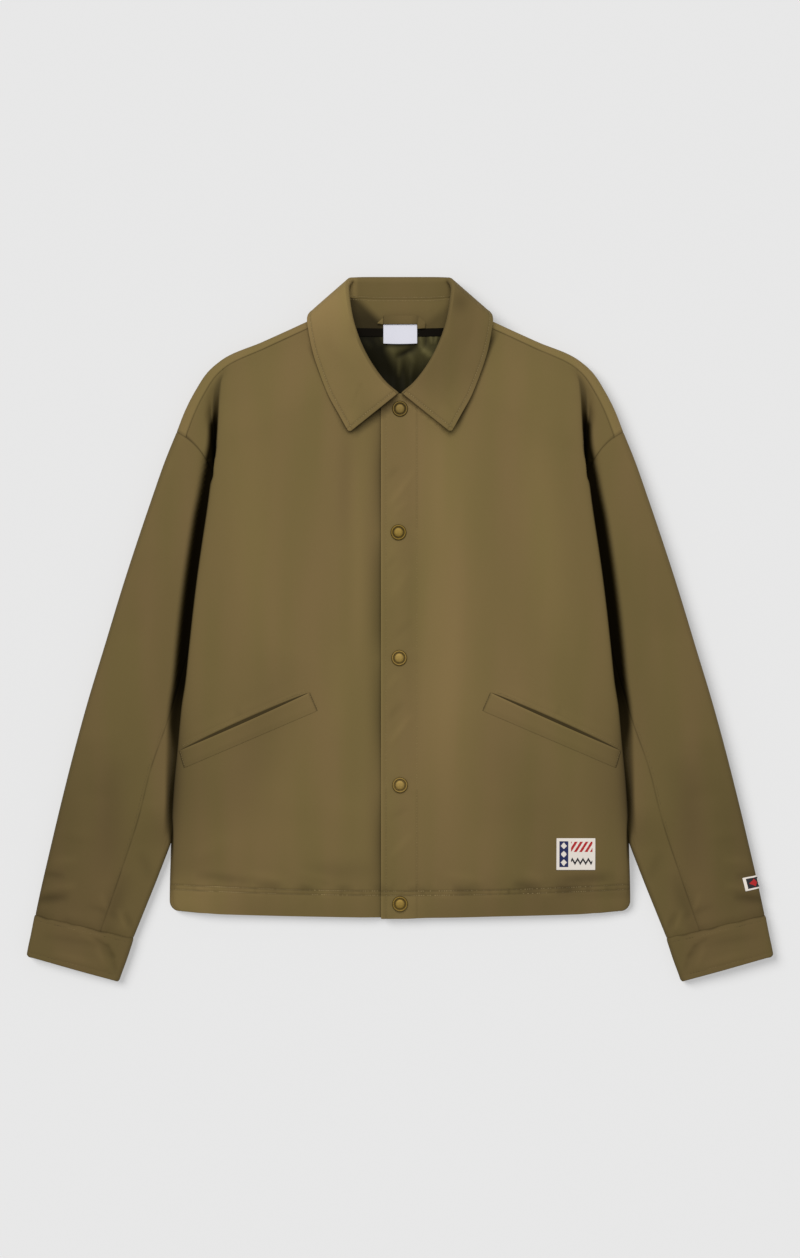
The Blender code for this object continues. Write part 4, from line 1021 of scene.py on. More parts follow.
# ------------------------------------------------------------------ sleeves and cuffs
SL_S = run_length(np.stack([(SLEEVE["ox"] + SLEEVE["ix"]) / 2, (SLEEVE["oy"] + SLEEVE["iy"]) / 2], 1))
sleeve_at = spline(SL_S, np.stack([SLEEVE[k] for k in ("ox", "oy", "ix", "iy", "half", "crown", "reach")], 1), smooth=True)
SPLIT_Q = (ARM_LEN[7] - SHOULDER_ROLL) / (ARM_LEN[-1] - SHOULDER_ROLL - INNER_REACH)
ROLL_A = np.radians(np.linspace(0, 90, 13))


def tube_row(o, i, half, crown, reach, qs, top_z, flat, bend):
    """One ring: top from the outer edge to the inner one, and the bottom below it."""
    width = np.linalg.norm(i - o)
    outer = reach * (1 - np.cos(ROLL_A[:-1]))
    mid = reach + (width - reach - INNER_REACH) * qs
    inner_a = ROLL_A[:-1][::-1]
    inner = width - INNER_REACH * (1 - np.cos(inner_a))
    dist = np.concatenate([outer, mid, inner])
    t = dist / width
    p = o + (i - o) * t[:, None]
    if bend > 0:
        swing = arm_at(ARM_LEN[-1] * t) - (ARM_P[0] + (ARM_P[-1] - ARM_P[0]) * t[:, None])
        p = p + swing * bend
    zt = np.concatenate([flat + half * (1 + np.sin(ROLL_A[:-1])),
                         top_z(p[len(outer):len(outer) + len(qs), 0], p[len(outer):len(outer) + len(qs), 1], qs, half, crown),
                         flat + INNER_HALF * (1 + np.sin(inner_a))])
    zb = np.concatenate([flat + half * (1 - np.sin(ROLL_A[:-1])), np.full(len(qs), flat), flat + INNER_HALF * (1 - np.sin(inner_a))])
    weight = np.concatenate([np.sin(ROLL_A[:-1]), np.ones(len(qs)), np.sin(inner_a)])
    return np.column_stack([p, zt]), np.column_stack([p, zb]), weight


def sleeve_grids():
    """Upper and under piece of the sleeve on the +X side, without creases."""
    qs = np.concatenate([np.linspace(0, SPLIT_Q, 40), np.linspace(SPLIT_Q, 1, 36)[1:]])
    ss = np.linspace(0, SL_S[-1], 188)
    top, bottom = [], []
    for s in ss:
        ox, oy, ix, iy, half, crown, reach = sleeve_at(s)
        j = float(np.interp(s, SL_S, np.arange(len(SL_S))))
        bend = max(0.0, 1 - j / 4.0) ** 1.5
        a, b, w = tube_row(np.array([ox, oy]), np.array([ix, iy]), half, crown, reach, qs, sleeve_top, REST_Z, bend)
        top.append(a)
        bottom.append(b)
    top, bottom = np.array(top), np.array(bottom)
    split = len(ROLL_A) - 1 + 39
    last = top.shape[1] - 1
    return top, bottom, w, split, last


def make_sleeves():
    top0, bottom0, weight, split, last = sleeve_grids()
    for name, side in (("left", 1), ("right", -1)):
        top, bottom = top0.copy(), bottom0.copy()
        top[..., 0] *= side
        bottom[..., 0] *= side
        tucked = ease(-4, 14, np.abs(top[..., 0]) - edge_at(top[..., 1]))
        free = np.maximum(tucked, 1 - ease(-250, -195, top[..., 1]))
        puff = edge_distance(top, "N")
        blouse = (0.9 + 0.6 * wander(top[..., 0] / 7, 2)) * bell(puff - 8, 6) - 0.7 * bell(puff, 3.5)
        top[..., 2] += (sleeve_detail(top[..., 0], top[..., 1]) + blouse) * weight * free
        lift = np.maximum(0, 0.8 * np.sin(np.abs(bottom[..., 0]) / 22 + bottom[..., 1] / 34) + 0.5 * np.sin(bottom[..., 1] / 17) - 0.35)
        bottom[..., 2] += lift * weight * ease(0, 30, edge_distance(bottom, "S")) * ease(0, 30, edge_distance(bottom, "N"))
        turn = len(ROLL_A) - 1
        upper = np.concatenate([bottom[:, split:turn:-4], bottom[:, turn:0:-1], top[:, :split + 1]], axis=1)
        under = np.concatenate([top[:, split:], bottom[:, last - 1:last - turn:-1], bottom[:, last - turn:split:-4], bottom[:, split:split + 1]], axis=1)
        for part, p in (("upper", upper), ("under", under)):
            p = refine(p, "NSEW")
            n = normals(p)
            probe = n[p.shape[0] // 2, -8 if part == "upper" else 8]
            if probe[2] < 0:
                n = -n
            x, y = p[..., 0], p[..., 1]
            # painted shade of the fold beside the body on the top layer, with the sleeves' painted light and shade; the
            # deepest faces take the shaded material
            dark = valley(x, y, True) * (p[..., 2] > 3.5)
            tone = sleeve_painted_light_and_shade(x, y) * crease_tone(x, y, SLEEVE_CREASES) * (1 - 0.957 * dark)
            for s, k in (("N", 0.26), ("S", 0.5), ("E", 0.42), ("W", 0.42)):
                d = edge_distance(p, s)
                tone = tone * (1 - k * (0.65 + 0.35 * wander((x + y) / 7, 3)) * bell(d, 0.85))
                p = p - n * (0.4 * bell(d, 1.3))[..., None]
            p[..., :2] += seam_wobble(p, edge_distance(p, "N"), side)
            gap = SEAM_GAP / 2
            p = pull_in(p, {"N": gap, "S": gap + 0.2, "E": gap, "W": gap})
            obj = shell(f"sleeve_{name}_{part}_cloth", p, CLOTH, [MAT["olive"], MAT["olive_painted_shade"]], tone=tone, deep=dark)
            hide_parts(f"sleeve_{name}_{part}")
            GRIDS[f"sleeve_{name}_{part}"] = (p, n)


def pull_in(p, amounts):
    """Moves the edges of a grid back along the cloth."""
    p = p.copy()
    for side, amount in amounts.items():
        axis = 0 if side in "NS" else 1
        q = np.moveaxis(p, axis, 0)
        a, b = (0, 1) if side in "SW" else (-1, -2)
        step = q[b] - q[a]
        size = np.maximum(np.linalg.norm(step, axis=1, keepdims=True), 1e-6)
        q[a] += step * np.minimum(amount / size, 0.6)
    return p


GRIDS = {}


def make_fronts():
    for name, side in (("left", 1), ("right", -1)):
        p, m = front_grid(side)
        p = refine(p, "SW", steps=(0.5, 1.1))
        m += 2
        n = normals(p)
        if n[40, 40, 2] < 0:
            n = -n
        x, y = p[..., 0], p[..., 1]
        tone = front_painted_light_and_shade(x, y) * crease_tone(x, y, FRONT_CREASES)
        y1, y2 = hem_rows(x)
        # darker stitch lines along the hem, and painted shade in the puckers between them
        tone = tone * (1 - 0.16 * bell(y - y1, 1.1) - 0.16 * bell(y - y2, 1.1) - (0.20 + 0.10 * (x > 20)) * np.maximum(0, pucker(x, 4, 11)) * bell(y - (y1 + y2) / 2 - 0.5, 3.2)
                       - 0.20 * np.maximum(0, pucker(x, 9, 47)) * bell(y - (y1 + y2) / 2 - 3.5, 6.0))
        # painted deep shade on the side fold's roll, on its wall and on cloth sunk below its top, with the fold's
        # painted shade from valley(); such faces take the shaded material
        flap = np.clip(np.arange(p.shape[1]) - m + 1, 0, None)[None]
        deep = valley_at(y)[..., 0] * np.maximum(ease(2.5, 6.5, flap) * (1 - ease(158, 170, y)), ease(0.35, 0.1, n[..., 2]))
        sunk = ease(1.2, 3.6, p[:, m - 1:m, 2] - p[..., 2]) * ease(150, 160, y) * (1 - ease(176, 188, y))
        deep = np.maximum(deep, valley_at(y)[..., 0] * sunk)
        shade = np.where(flap > 0, np.maximum(deep, valley(x, y)), valley(x, y) * (y > 205))
        tone = tone * (1 - 0.957 * shade)
        # placket: a painted highlight along the left front's edge and darker lines at its stitch rows; on the right
        # front, painted shade beside the overlapping edge, deeper between the snaps
        if side > 0:
            tone = tone * (1 + 0.22 * bell(x + PLACKET_HALF, 0.9) - 0.10 * bell(x + 15.6, 1.0) * (y < -180) - 0.09 * bell(x - 18.8, 1.2) * ((y > 110) | (y < -180)))
        else:
            off = -PLACKET_HALF - x
            gap = between_snaps(y) * (0.65 + 0.35 * wander(y / 31, 2))
            wide = bell(y - 20, 105)
            tone = tone * (1 - (0.22 * bell(off, 2.4) + (0.12 + 0.30 * gap + 0.08 * wide) * bell(off, 9.0 + 3.0 * wide)) * ease(-3, 0, off))
        along = 0.7 + 0.3 * wander((x - y) / 9, 1)
        d = edge_distance(p, "N")
        tone = tone * (1 - 0.5 * along * bell(d, 0.8))
        p = p - n * (0.5 * bell(d, 1.4))[..., None]
        d = edge_distance(p, "E")
        tone = tone * (1 - 0.5 * along * bell(d, 0.8))
        p = p - n * (0.4 * bell(d, 1.4))[..., None] * (p[..., 1] > 185)[..., None]
        p = pull_in(p, {"N": 0.4, "E": 0.5})
        obj = shell(f"front_{name}_cloth", p, CLOTH, [MAT["olive"], MAT["olive_painted_shade"]], tone=tone, deep=shade)
        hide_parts(f"front_{name}")
        GRIDS[f"front_{name}"] = (p, n)


# ------------------------------------------------------------------ back
def make_back():
    """Back: flat on the floor, sides turned up, shoulders rolled over to their seams."""
    n_seam = 56
    along = np.linspace(OUT_LEN[0], OUT_LEN[-1], n_seam)
    seam_p, out_p = seam_at(along), outline_at(along)
    neck = spline(NECK_BACK["x"][::-1], NECK_BACK["y"][::-1])
    nx = np.linspace(seam_p[-1, 0], 0, 22)[1:]
    neck_y = np.interp(nx, [0, 45, seam_p[-1, 0]], [334.0, 337.8, seam_p[-1, 1]])
    top = np.concatenate([seam_p, np.stack([nx, neck_y], 1)])
    share = np.concatenate([np.linspace(0, 0.66, n_seam), 0.66 + 0.34 * np.arange(1, len(nx) + 1) / len(nx)])
    ys = np.concatenate([[-324.3, -323, -321, -318.4, -315.5, -312, -308], np.arange(-303, 20, 5.5), np.arange(20, 214, 4.6), [214.65]])
    left = []
    for y in ys:
        e = float(edge_at(y))
        if y <= 20:
            left.append((e - float(tuck_at(y)) - (FOLD_R - 0.4), y + hem_rise(e) * (1 - ease(HEM_Y, HEM_Y + 70, y))))
        else:
            start = e - float(tuck_at(20.0)) - (FOLD_R - 0.4)
            full = float(arm_x_of_y(y))
            from_side = float(edge_at(20)) - float(tuck_at(20.0)) - (FOLD_R - 0.4)
            left.append((full + (from_side - full) * (1 - ease(20, 60, y)), y))
    left = np.array(left)
    vs = (left[:, 1] - left[0, 1]) / (left[-1, 1] - left[0, 1])
    bx = left[0, 0] * (1 - share)
    bottom = np.stack([bx, HEM_Y + hem_rise(bx)], 1)
    grid = []
    for j, v in enumerate(vs):
        s = share[:, None]
        right = np.array([0.0, HEM_Y * (1 - v) + v * top[-1][1]])
        p = ((1 - v) * bottom + v * top + (1 - s) * left[j] + s * right
             - (1 - s) * ((1 - v) * bottom[0] + v * top[0]) - s * ((1 - v) * bottom[-1] + v * top[-1]))
        z = back_z(p[:, 0], p[:, 1])
        soft = np.maximum(0, 0.9 * np.sin(p[:, 0] / 33 + p[:, 1] / 120) * np.sin(p[:, 1] / 64 + 0.6) + 0.6 * np.sin(p[:, 0] / 19 + 1) * bell(p[:, 1] - 60, 150) - 0.45)
        keep = ease(0, 40, p[:, 1] - HEM_Y) * ease(0, 25, left[j, 0] - p[:, 0]) * (1 - ease(180, 220, p[:, 1]))
        grid.append(np.column_stack([p, z + soft * keep]))
    half = np.array(grid)
    turn = 7
    wide = []
    for j in range(len(half)):
        x0, y0, z0 = half[j, 0]
        if ys[j] <= 20:
            r = SIDE_SEAM_Z - REST_Z
        else:
            r = (SIDE_SEAM_Z - REST_Z) * (1 - float(ease(20, 52, ys[j]))) + 0.25
        a = np.pi / 2 * np.arange(turn, 0, -1) / turn
        extra = np.stack([x0 + r * np.sin(a), np.full(turn, y0), z0 + max(r - SEAM_GAP / 2, 0) * (1 - np.cos(a))], 1)
        wide.append(np.concatenate([extra, half[j]]))
    wide = np.array(wide)
    rim = []
    for phi in np.linspace(-82, 90, 20):
        a = math.radians(phi)
        pos = out_p + (seam_p - out_p) * (1 - math.cos(a))
        base = back_z(seam_p[:, 0], seam_p[:, 1])
        top_z = REST_Z + 2 * SHOULDER_HALF_Z
        rim.append(np.column_stack([pos, base + (top_z - base) * (1 + math.sin(a)) / 2]))
    rim = np.array(rim)
    return wide, rim, turn, n_seam


def back_piece():
    wide, rim, turn, n_seam = make_back()
    # the flat part with its turned-up sides
    other = wide[:, ::-1].copy()
    other[..., 0] *= -1
    flat = np.concatenate([wide, other[:, 1:]], axis=1)
    # the roll is joined to the flat part's last row, one side after the other
    verts, faces, shade = [flat.reshape(-1, 3)], [], [np.full(flat.shape[0] * flat.shape[1], 0.9)]
    rows, cols = flat.shape[:2]
    index = np.arange(rows * cols).reshape(rows, cols)
    a, b, c, d = index[:-1, :-1], index[:-1, 1:], index[1:, 1:], index[1:, :-1]
    faces.append(np.stack([a, d, c, b], -1).reshape(-1, 4))
    base = rows * cols
    for side in (1, -1):
        r = rim.copy()
        r[..., 0] *= side
        line = index[-1, turn:turn + n_seam] if side > 0 else index[-1, ::-1][turn:turn + n_seam]
        k = r.shape[0]
        extra = base + np.arange(k * n_seam).reshape(k, n_seam)
        verts.append(r.reshape(-1, 3))
        # the shoulder roll is painted lighter than the flat part (1.2 against 0.9) as painted light, with darker seam
        # lines along its edges
        d_edge = edge_distance(r, "N")
        e_edge = edge_distance(r, "W")
        shade.append((1.2 - 0.42 * np.maximum(bell(d_edge, 0.7), bell(e_edge, 0.7))).reshape(-1))
        grid = np.concatenate([line[None], extra])
        a, b, c, d = grid[:-1, :-1], grid[:-1, 1:], grid[1:, 1:], grid[1:, :-1]
        q = np.stack([a, d, c, b], -1).reshape(-1, 4)
        faces.append(q if side > 0 else q[:, ::-1])
        base += k * n_seam
    mesh = bpy.data.meshes.new("back_cloth")
    mesh.from_pydata((np.concatenate(verts) * MM).tolist(), [], np.concatenate(faces).tolist())
    set_tone(mesh, np.concatenate(shade))
    mesh.update()
    obj = bpy.data.objects.new("back_build", mesh)
    bpy.context.scene.collection.objects.link(obj)
    solid = obj.modifiers.new("wall", "SOLIDIFY")
    solid.thickness = CLOTH * MM
    solid.offset = 0.0
    solid.use_even_offset = True
    deps = bpy.context.evaluated_depsgraph_get()
    done = bpy.data.meshes.new_from_object(obj.evaluated_get(deps))
    bpy.data.objects.remove(obj)
    done.name = "back_cloth"
    bm = bmesh.new()
    bm.from_mesh(done)
    bmesh.ops.recalc_face_normals(bm, faces=bm.faces)
    bm.to_mesh(done)
    bm.free()
    done.shade_smooth()
    done.set_sharp_from_angle(angle=math.radians(55))
    obj = link("back_cloth", done, [MAT["olive"]])
    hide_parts("back")


# ------------------------------------------------------------------ cuffs
def seam_wobble(p, from_seam, side):
    """Small sideways waves of the cuff seam, the same on both of its sides."""
    run = np.abs(p[..., 0]) * 0.97 + p[..., 1] * 0.22
    size = 0.55 * wander(run / 4.6, 3 + side) * bell(from_seam, 5.0)
    return np.stack([0.2 * side * size, -0.98 * size], -1)


def make_cuffs():
    flat = CUFF / 2
    s0 = run_length(np.stack([(CUFFS["ox"] + CUFFS["ix"]) / 2, (CUFFS["oy"] + CUFFS["iy"]) / 2], 1))
    at = spline(s0, np.stack([CUFFS[k] for k in ("ox", "oy", "ix", "iy", "half", "crown", "reach")], 1))
    ss = np.concatenate([[0, 0.5, 1.2, 2.2], np.arange(3.4, s0[-1] - 3, 1.3), s0[-1] - np.array([2.6, 1.6, 0.9, 0.4, 0])])
    qs = np.linspace(0, 1, 64)

    def top_z(x, y, q, half, crown):
        return flat + 2 * half + (crown - flat - 2 * half) * 4 * q * (1 - q) - (2 * half - 2 * INNER_HALF) * ease(0.5, 1, q)

    top, bottom = [], []
    for s in ss:
        ox, oy, ix, iy, half, crown, reach = at(s)
        a, b, w = tube_row(np.array([ox, oy]), np.array([ix, iy]), half, crown, reach, qs, top_z, flat, 0)
        top.append(a)
        bottom.append(b)
    top, bottom = np.array(top), np.array(bottom)
    from_seam = ss[:, None]
    from_edge = (ss[-1] - ss)[:, None]
    for name, side in (("left", 1), ("right", -1)):
        t, b = top.copy(), bottom.copy()
        t[..., 0] *= side
        b[..., 0] *= side
        d = 0.0
        for c in CUFF_CREASES:
            d = d + ridge(t[..., 0], t[..., 1], *c)
        d = d * ease(0, 5, from_edge) * ease(0, 4, from_seam)
        d = d - 0.35 * bell(from_edge - 5.2, 1.1) - 0.3 * bell(from_seam - 4.2, 1.0) + 0.25 * pucker(np.abs(t[..., 0]) * 1.0, 5, 13) * bell(from_seam - 3, 5)
        t[..., 2] += d * w
        b[..., 2] += np.maximum(0, 0.6 * np.sin(b[..., 0] / 14 + b[..., 1] / 9) - 0.2) * w * ease(0, 12, from_edge) * ease(0, 12, from_seam)
        p = np.concatenate([t, b[:, -2:0:-1]], axis=1)
        p[..., :2] += seam_wobble(p, from_seam, side)
        n = normals(p, ring=True)
        if n[20, 30, 2] < 0:
            n = -n
        # cuffs painted darker as painted shade, with the creases' painted light and shade and an uneven darker seam
        # line
        tone = 0.70 * crease_tone(p[..., 0], p[..., 1], CUFF_CREASES, 0.10) * (1 - 0.26 * np.clip(0.5 + 0.8 * wander(p[..., 0] / 5, 4), 0, 1.2) * bell(from_seam, 1.0))
        p = p - n * (0.4 * bell(from_seam, 1.4))[..., None]
        obj = shell(f"cuff_{name}_cloth", p, CUFF, [MAT["olive"]], ring=True, tone=tone)
        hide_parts(f"cuff_{name}")
        GRIDS[f"cuff_{name}"] = (p, n, ss)


# ------------------------------------------------------------------ collar
def collar_grids():
    """Leaf (outer edge to collar seam) and band (collar seam to neck seam), both sides in one run."""
    count = len(COLLAR["rx"])
    knots = np.arange(count, dtype=float)
    rows = []
    for j in range(count):
        lie = float(front_z(COLLAR["ex"][j], COLLAR["ey"][j])) + CLOTH / 2 + LAY_GAP + LEAF / 2 + 0.9 if j >= 8 else -1.0
        x, y = NECK["x"][j], NECK["y"][j]
        if j <= 5:
            z = max(float(back_z(x, y)) + CLOTH + LAY_GAP, float(np.interp(j, (3, 5), (0, 17.5))) + 4.0 if j > 3 else 0)
        else:
            z = float(front_z(x, y)) + CLOTH + LAY_GAP + 0.9
        rows.append([COLLAR["rx"][j], COLLAR["ry"][j], COLLAR["rz"][j], COLLAR["ex"][j], COLLAR["ey"][j], max(COLLAR["ez"][j], lie),
                     COLLAR["turn"][j], COLLAR["gap"][j], COLLAR["strip"][j], x, y, z])
    at = spline(knots, np.array(rows), smooth=True)
    tight = spline(knots, np.array(rows))
    stations = np.concatenate([np.arange(0, 11, 0.09), np.arange(11, 11.68, 0.07), [11.72, 11.76, 11.80, 11.84, 11.88, 11.91, 11.94, 11.965, 11.985, 12.0]])
    leaf, band = [], []
    for k in stations:
        c = at(k) * 0.5 + tight(k) * 0.5
        c[6] = tight(k)[6]
        r, e = c[0:3], c[3:6]
        d = e - r
        length = np.linalg.norm(d)
        d = d / length
        inward = np.array([d[1], -d[0], 0.0])
        inward /= np.linalg.norm(inward)
        up = np.array([0, 0, 1.0]) - d * d[2]
        up /= np.linalg.norm(up)
        a = math.radians(c[6])
        w = math.cos(a) * up + math.sin(a) * inward
        g = c[7]
        centre = r + d * g
        reach = length - g
        fs = 1 - np.concatenate([[0, 0.5, 1.2, 2.0, 2.8, 3.5, 4.2, 4.9, 5.7, 6.8, 8.4], np.linspace(10.5, reach * 0.97, 24)]) / reach
        row = [centre + d * reach * f - w * g * (1 - f) ** 0.8 for f in fs]
        for b in np.linspace(-90, 90, 17):
            t = math.radians(b)
            row.append(centre - d * g * math.cos(t) + w * g * math.sin(t))
        seam = r + d * c[8] + w * g
        last = row[-1]
        for f in np.linspace(0, 1, 12)[1:]:
            row.append(last * (1 - f) + seam * f)
        leaf.append(row)
        neck = c[9:12]
        start = seam + (neck - seam) / np.linalg.norm(neck - seam) * SEAM_GAP
        band.append([start * (1 - f) + neck * f for f in np.linspace(0, 1, 16)])
    leaf, band = np.array(leaf), np.array(band)

    def both(h):
        other = h[::-1].copy()
        other[..., 0] *= -1
        return np.concatenate([other[:-1], h])
    return both(leaf), both(band), stations


def make_collar():
    leaf, band, stations = collar_grids()
    n = normals(leaf)
    if n[-12, 20, 2] < 0:
        n = -n
    # topstitch grooves near the free edges, a soft roll beyond them and edges that stand off a little
    edge = edge_distance(leaf, "W")
    ends = np.minimum(edge_distance(leaf, "N"), edge_distance(leaf, "S"))
    inner = edge_distance(leaf, "E")
    X, Y = leaf[..., 0], leaf[..., 1]
    outer_part = (np.arange(leaf.shape[1]) < 36)[None]
    d = (-0.32 * bell(edge - 4.4, 1.0) + 0.22 * bell(edge - 1.8, 1.4)) * outer_part
    d = d - (0.32 * bell(ends - 4.4, 1.0) - 0.22 * bell(ends - 1.8, 1.4)) * outer_part
    d = d - 0.12 * bell(inner - 1.6, 0.9) - 0.15 * bell(inner, 1.2)
    for c in creases([(361, 384, 357, 402, 3.0, -1.2), (354, 388, 351, 410, 4, 0.8), (330, 330, 352, 372, 9, 0.8), (470, 330, 448, 372, 9, -0.7),
                      (446, 400, 452, 420, 4, -0.7), (318, 330, 330, 372, 7, -0.5), (482, 330, 470, 372, 7, 0.5)]):
        d = d + ridge(X, Y, *c) * outer_part
    p = leaf + n * d[..., None]
    front_part = (1 - ease(335, 372, Y)) * outer_part
    p[..., 2] += front_part * ((1.0 + 4.0 * ease(0, 40, X)) * (1 - ease(0, 26, edge)) + 2.2 * (1 - ease(0, 22, ends)))
    radius = 3.4
    for row, col in ((0, 0), (-1, 0)):
        a, b = np.maximum(radius - edge, 0), np.maximum(radius - edge_distance(leaf, "S" if row == 0 else "N"), 0)
        both = (a > 0) & (b > 0)
        far = np.hypot(a, b)
        keep = np.where(both, np.maximum(a, b) / np.maximum(far, 1e-9), 1.0)
        in_edge = leaf[row, 8] - leaf[row, 0]
        in_end = leaf[7 if row == 0 else -8, 0] - leaf[row, 0]
        in_edge, in_end = in_edge / np.linalg.norm(in_edge), in_end / np.linalg.norm(in_end)
        p = p + ((a * (1 - keep))[..., None] * in_edge + (b * (1 - keep))[..., None] * in_end)
    p = pull_in(p, {"E": 0.35})
    # painted light and shade: the outer leaf on the wearer's right painted lighter and on the left darker with a darker
    # patch, each with its own gradient; the inner side lighter at the wearer's right end; darker along the topstitch
    # lines, and a painted highlight on the free edges
    u, v = X / PX + 399.5, 628.5 - Y / PX
    light = 1.12 * (1 + 0.32 * (1 - ease(295, 372, v)) - 0.10 * ease(385, 415, v) * ease(350, 365, u))
    dim = 0.88 * (0.95 + 0.20 * ease(365, 415, v) - 0.22 * bell(np.hypot((u - 459) / 9, (v - 303) / 11), 1))
    behind = ease(318, 334, Y) * (1 - ease(45, 60, np.abs(X)))
    outer_tone = (dim + (light - dim) * ease(20, -20, X)) * (1 - behind) + behind
    tone = np.where(outer_part, outer_tone, 0.86 + 0.32 * ease(-45, -52, X))
    tone = tone * (1 - (0.20 * bell(edge - 4.4, 0.9) + 0.20 * bell(ends - 4.4, 0.9)) * outer_part)
    tone = tone * (1 + 0.10 * bell(edge, 1.0) * outer_part)
    obj = shell("collar_leaf_cloth", p, LEAF, [MAT["olive"]], tone=tone)
    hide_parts("collar_leaf")
    GRIDS["collar_leaf"] = (p, n)
    bn = normals(band)
    if np.dot(bn[bn.shape[0] // 2, 6], (0, -0.4, 1)) < 0:
        bn = -bn
    top = edge_distance(band, "W")
    wave = 0.5 * pucker(band[..., 0], 7, 23) * ease(3, 12, top)
    wave = wave - 0.15 * bell(top, 1.2) - 0.12 * bell(top - 1.6, 0.9)
    band = band + bn * wave[..., None]
    # painted shadow of the leaves on the stand, a deep wedge on the wearer's right and a lighter one on the left, and
    # darker away from its top edge
    u, v = band[..., 0] / PX + 399.5, 628.5 - band[..., 1] / PX
    tone = 0.90 - 0.60 * ease(6, -8, (u - 352) - 1.03 * (v - 292)) - 0.22 * ease(4, -10, (450 - u) - 1.2 * (v - 300)) - 0.10 * ease(6, 26, top)
    obj = shell("collar_stand_cloth", band, CLOTH, [MAT["olive"]], tone=tone)
    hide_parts("collar_stand")
    GRIDS["collar_stand"] = (band, bn)


# ------------------------------------------------------------------ welts and pocket mouths
def make_welts():
    (ax, ay), (bx, by), (cx, cy), (dx, dy) = WELT_CORNERS
    us, vs = np.concatenate([[0, 0.004, 0.01], np.linspace(0.02, 0.98, 64), [0.99, 0.996, 1]]), np.concatenate([[0, 0.03, 0.07, 0.12, 0.18], np.linspace(0.26, 0.8, 8), [0.87, 0.93, 0.97, 1]])
    for name, side in (("left", 1), ("right", -1)):
        u, v = np.meshgrid(us, vs)
        x = (ax * (1 - u) + bx * u) * (1 - v) + (dx * (1 - u) + cx * u) * v
        y = (ay * (1 - u) + by * u) * (1 - v) + (dy * (1 - u) + cy * u) * v
        sag = 1.0 * np.sin(np.pi * u) * (1 - v)
        y = y - sag
        z = on_front(x * side, y, side) + CLOTH / 2 + 0.25 + 0.5
        z = z + 0.35 * np.sin(np.pi * u) * (1 - ease(0, 0.5, v)) - 0.62 * ease(0.7, 1.0, v)
        z = z - 0.4 * (bell(u, 0.012) + bell(u - 1, 0.012))
        p = np.stack([x * side, y, z], -1)
        # the fronts' painted light and shade, darker at the welt's two ends and lighter along its top edge
        tone = front_painted_light_and_shade(x * side, y) * (1 - 0.5 * bell(u, 0.007) - 0.5 * bell(u - 1, 0.007) - 0.05 * bell(v - 1, 0.05) + 0.14 * bell(v, 0.07))
        obj = shell(f"welt_{name}_cloth", p, 1.0, [MAT["olive"]], up=(0, 0, 1), tone=tone)
        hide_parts(f"welt_{name}")
        GRIDS[f"welt_{name}"] = (p, None)
        # dark mouth between the front's slit and the welt's top edge: a thin sheet whose dark olive is painted shade
        # for the pocket's inside
        mouth = []
        for t in np.linspace(0.004, 0.996, 80):
            gape = 3.7 * math.sin(math.pi * t) ** 0.6
            x0, y0 = ax * (1 - t) + bx * t, ay * (1 - t) + by * t - 1.0 * math.sin(math.pi * t)
            nx, ny = 0.408, 0.913
            line = []
            for f in np.linspace(-0.25, 1.0, 6):
                x1, y1 = x0 + nx * gape * f, y0 + ny * gape * f
                line.append((x1 * side, y1, float(on_front(x1 * side, y1, side)) + CLOTH / 2 + 0.12 + 0.1))
            mouth.append(line)
        obj = shell(f"pocket_mouth_{name}", np.array(mouth), 0.2, [MAT["pocket"]], up=(0, 0, 1))
        # folded edge of the slit above the mouth
        lip = []
        for t in np.linspace(0.03, 0.975, 80):
            gape = 3.7 * math.sin(math.pi * t) ** 0.6
            x0, y0 = ax * (1 - t) + bx * t, ay * (1 - t) + by * t - 1.0 * math.sin(math.pi * t)
            line = []
            for f, h in ((0.0, 0.25), (0.35, 0.95), (0.9, 1.25), (1.7, 1.15), (2.8, 0.8), (4.2, 0.35), (5.6, 0.02)):
                x1, y1 = x0 + 0.408 * (gape + f), y0 + 0.913 * (gape + f)
                line.append((x1 * side, y1, float(on_front(x1 * side, y1, side)) + CLOTH / 2 + h * math.sin(math.pi * t) ** 0.6 - 0.25))
            lip.append(line)
        lip = np.array(lip)
        # the fold of the slit takes the fronts' painted light and shade
        obj = shell(f"pocket_lip_{name}", lip, 0.5, [MAT["olive"]], up=(0, 0, 1), tone=front_painted_light_and_shade(lip[..., 0], lip[..., 1]))


# ------------------------------------------------------------------ snaps
def lathe(bm, profile, sides, tag):
    rings = []
    for r, z in profile:
        if r == 0:
            rings.append([bm.verts.new((0, 0, z))])
        else:
            rings.append([bm.verts.new((r * math.cos(2 * math.pi * i / sides), r * math.sin(2 * math.pi * i / sides), z)) for i in range(sides)])
    for (a, b), (one, two) in zip(zip(rings, rings[1:]), zip(profile, profile[1:])):
        for i in range(sides):
            k = (i + 1) % sides
            if len(a) == 1:
                f = bm.faces.new((a[0], b[i], b[k]))
            elif len(b) == 1:
                f = bm.faces.new((a[i], b[0], a[k]))
            else:
                f = bm.faces.new((a[i], b[i], b[k], a[k]))
            f.material_index = tag(one, two)


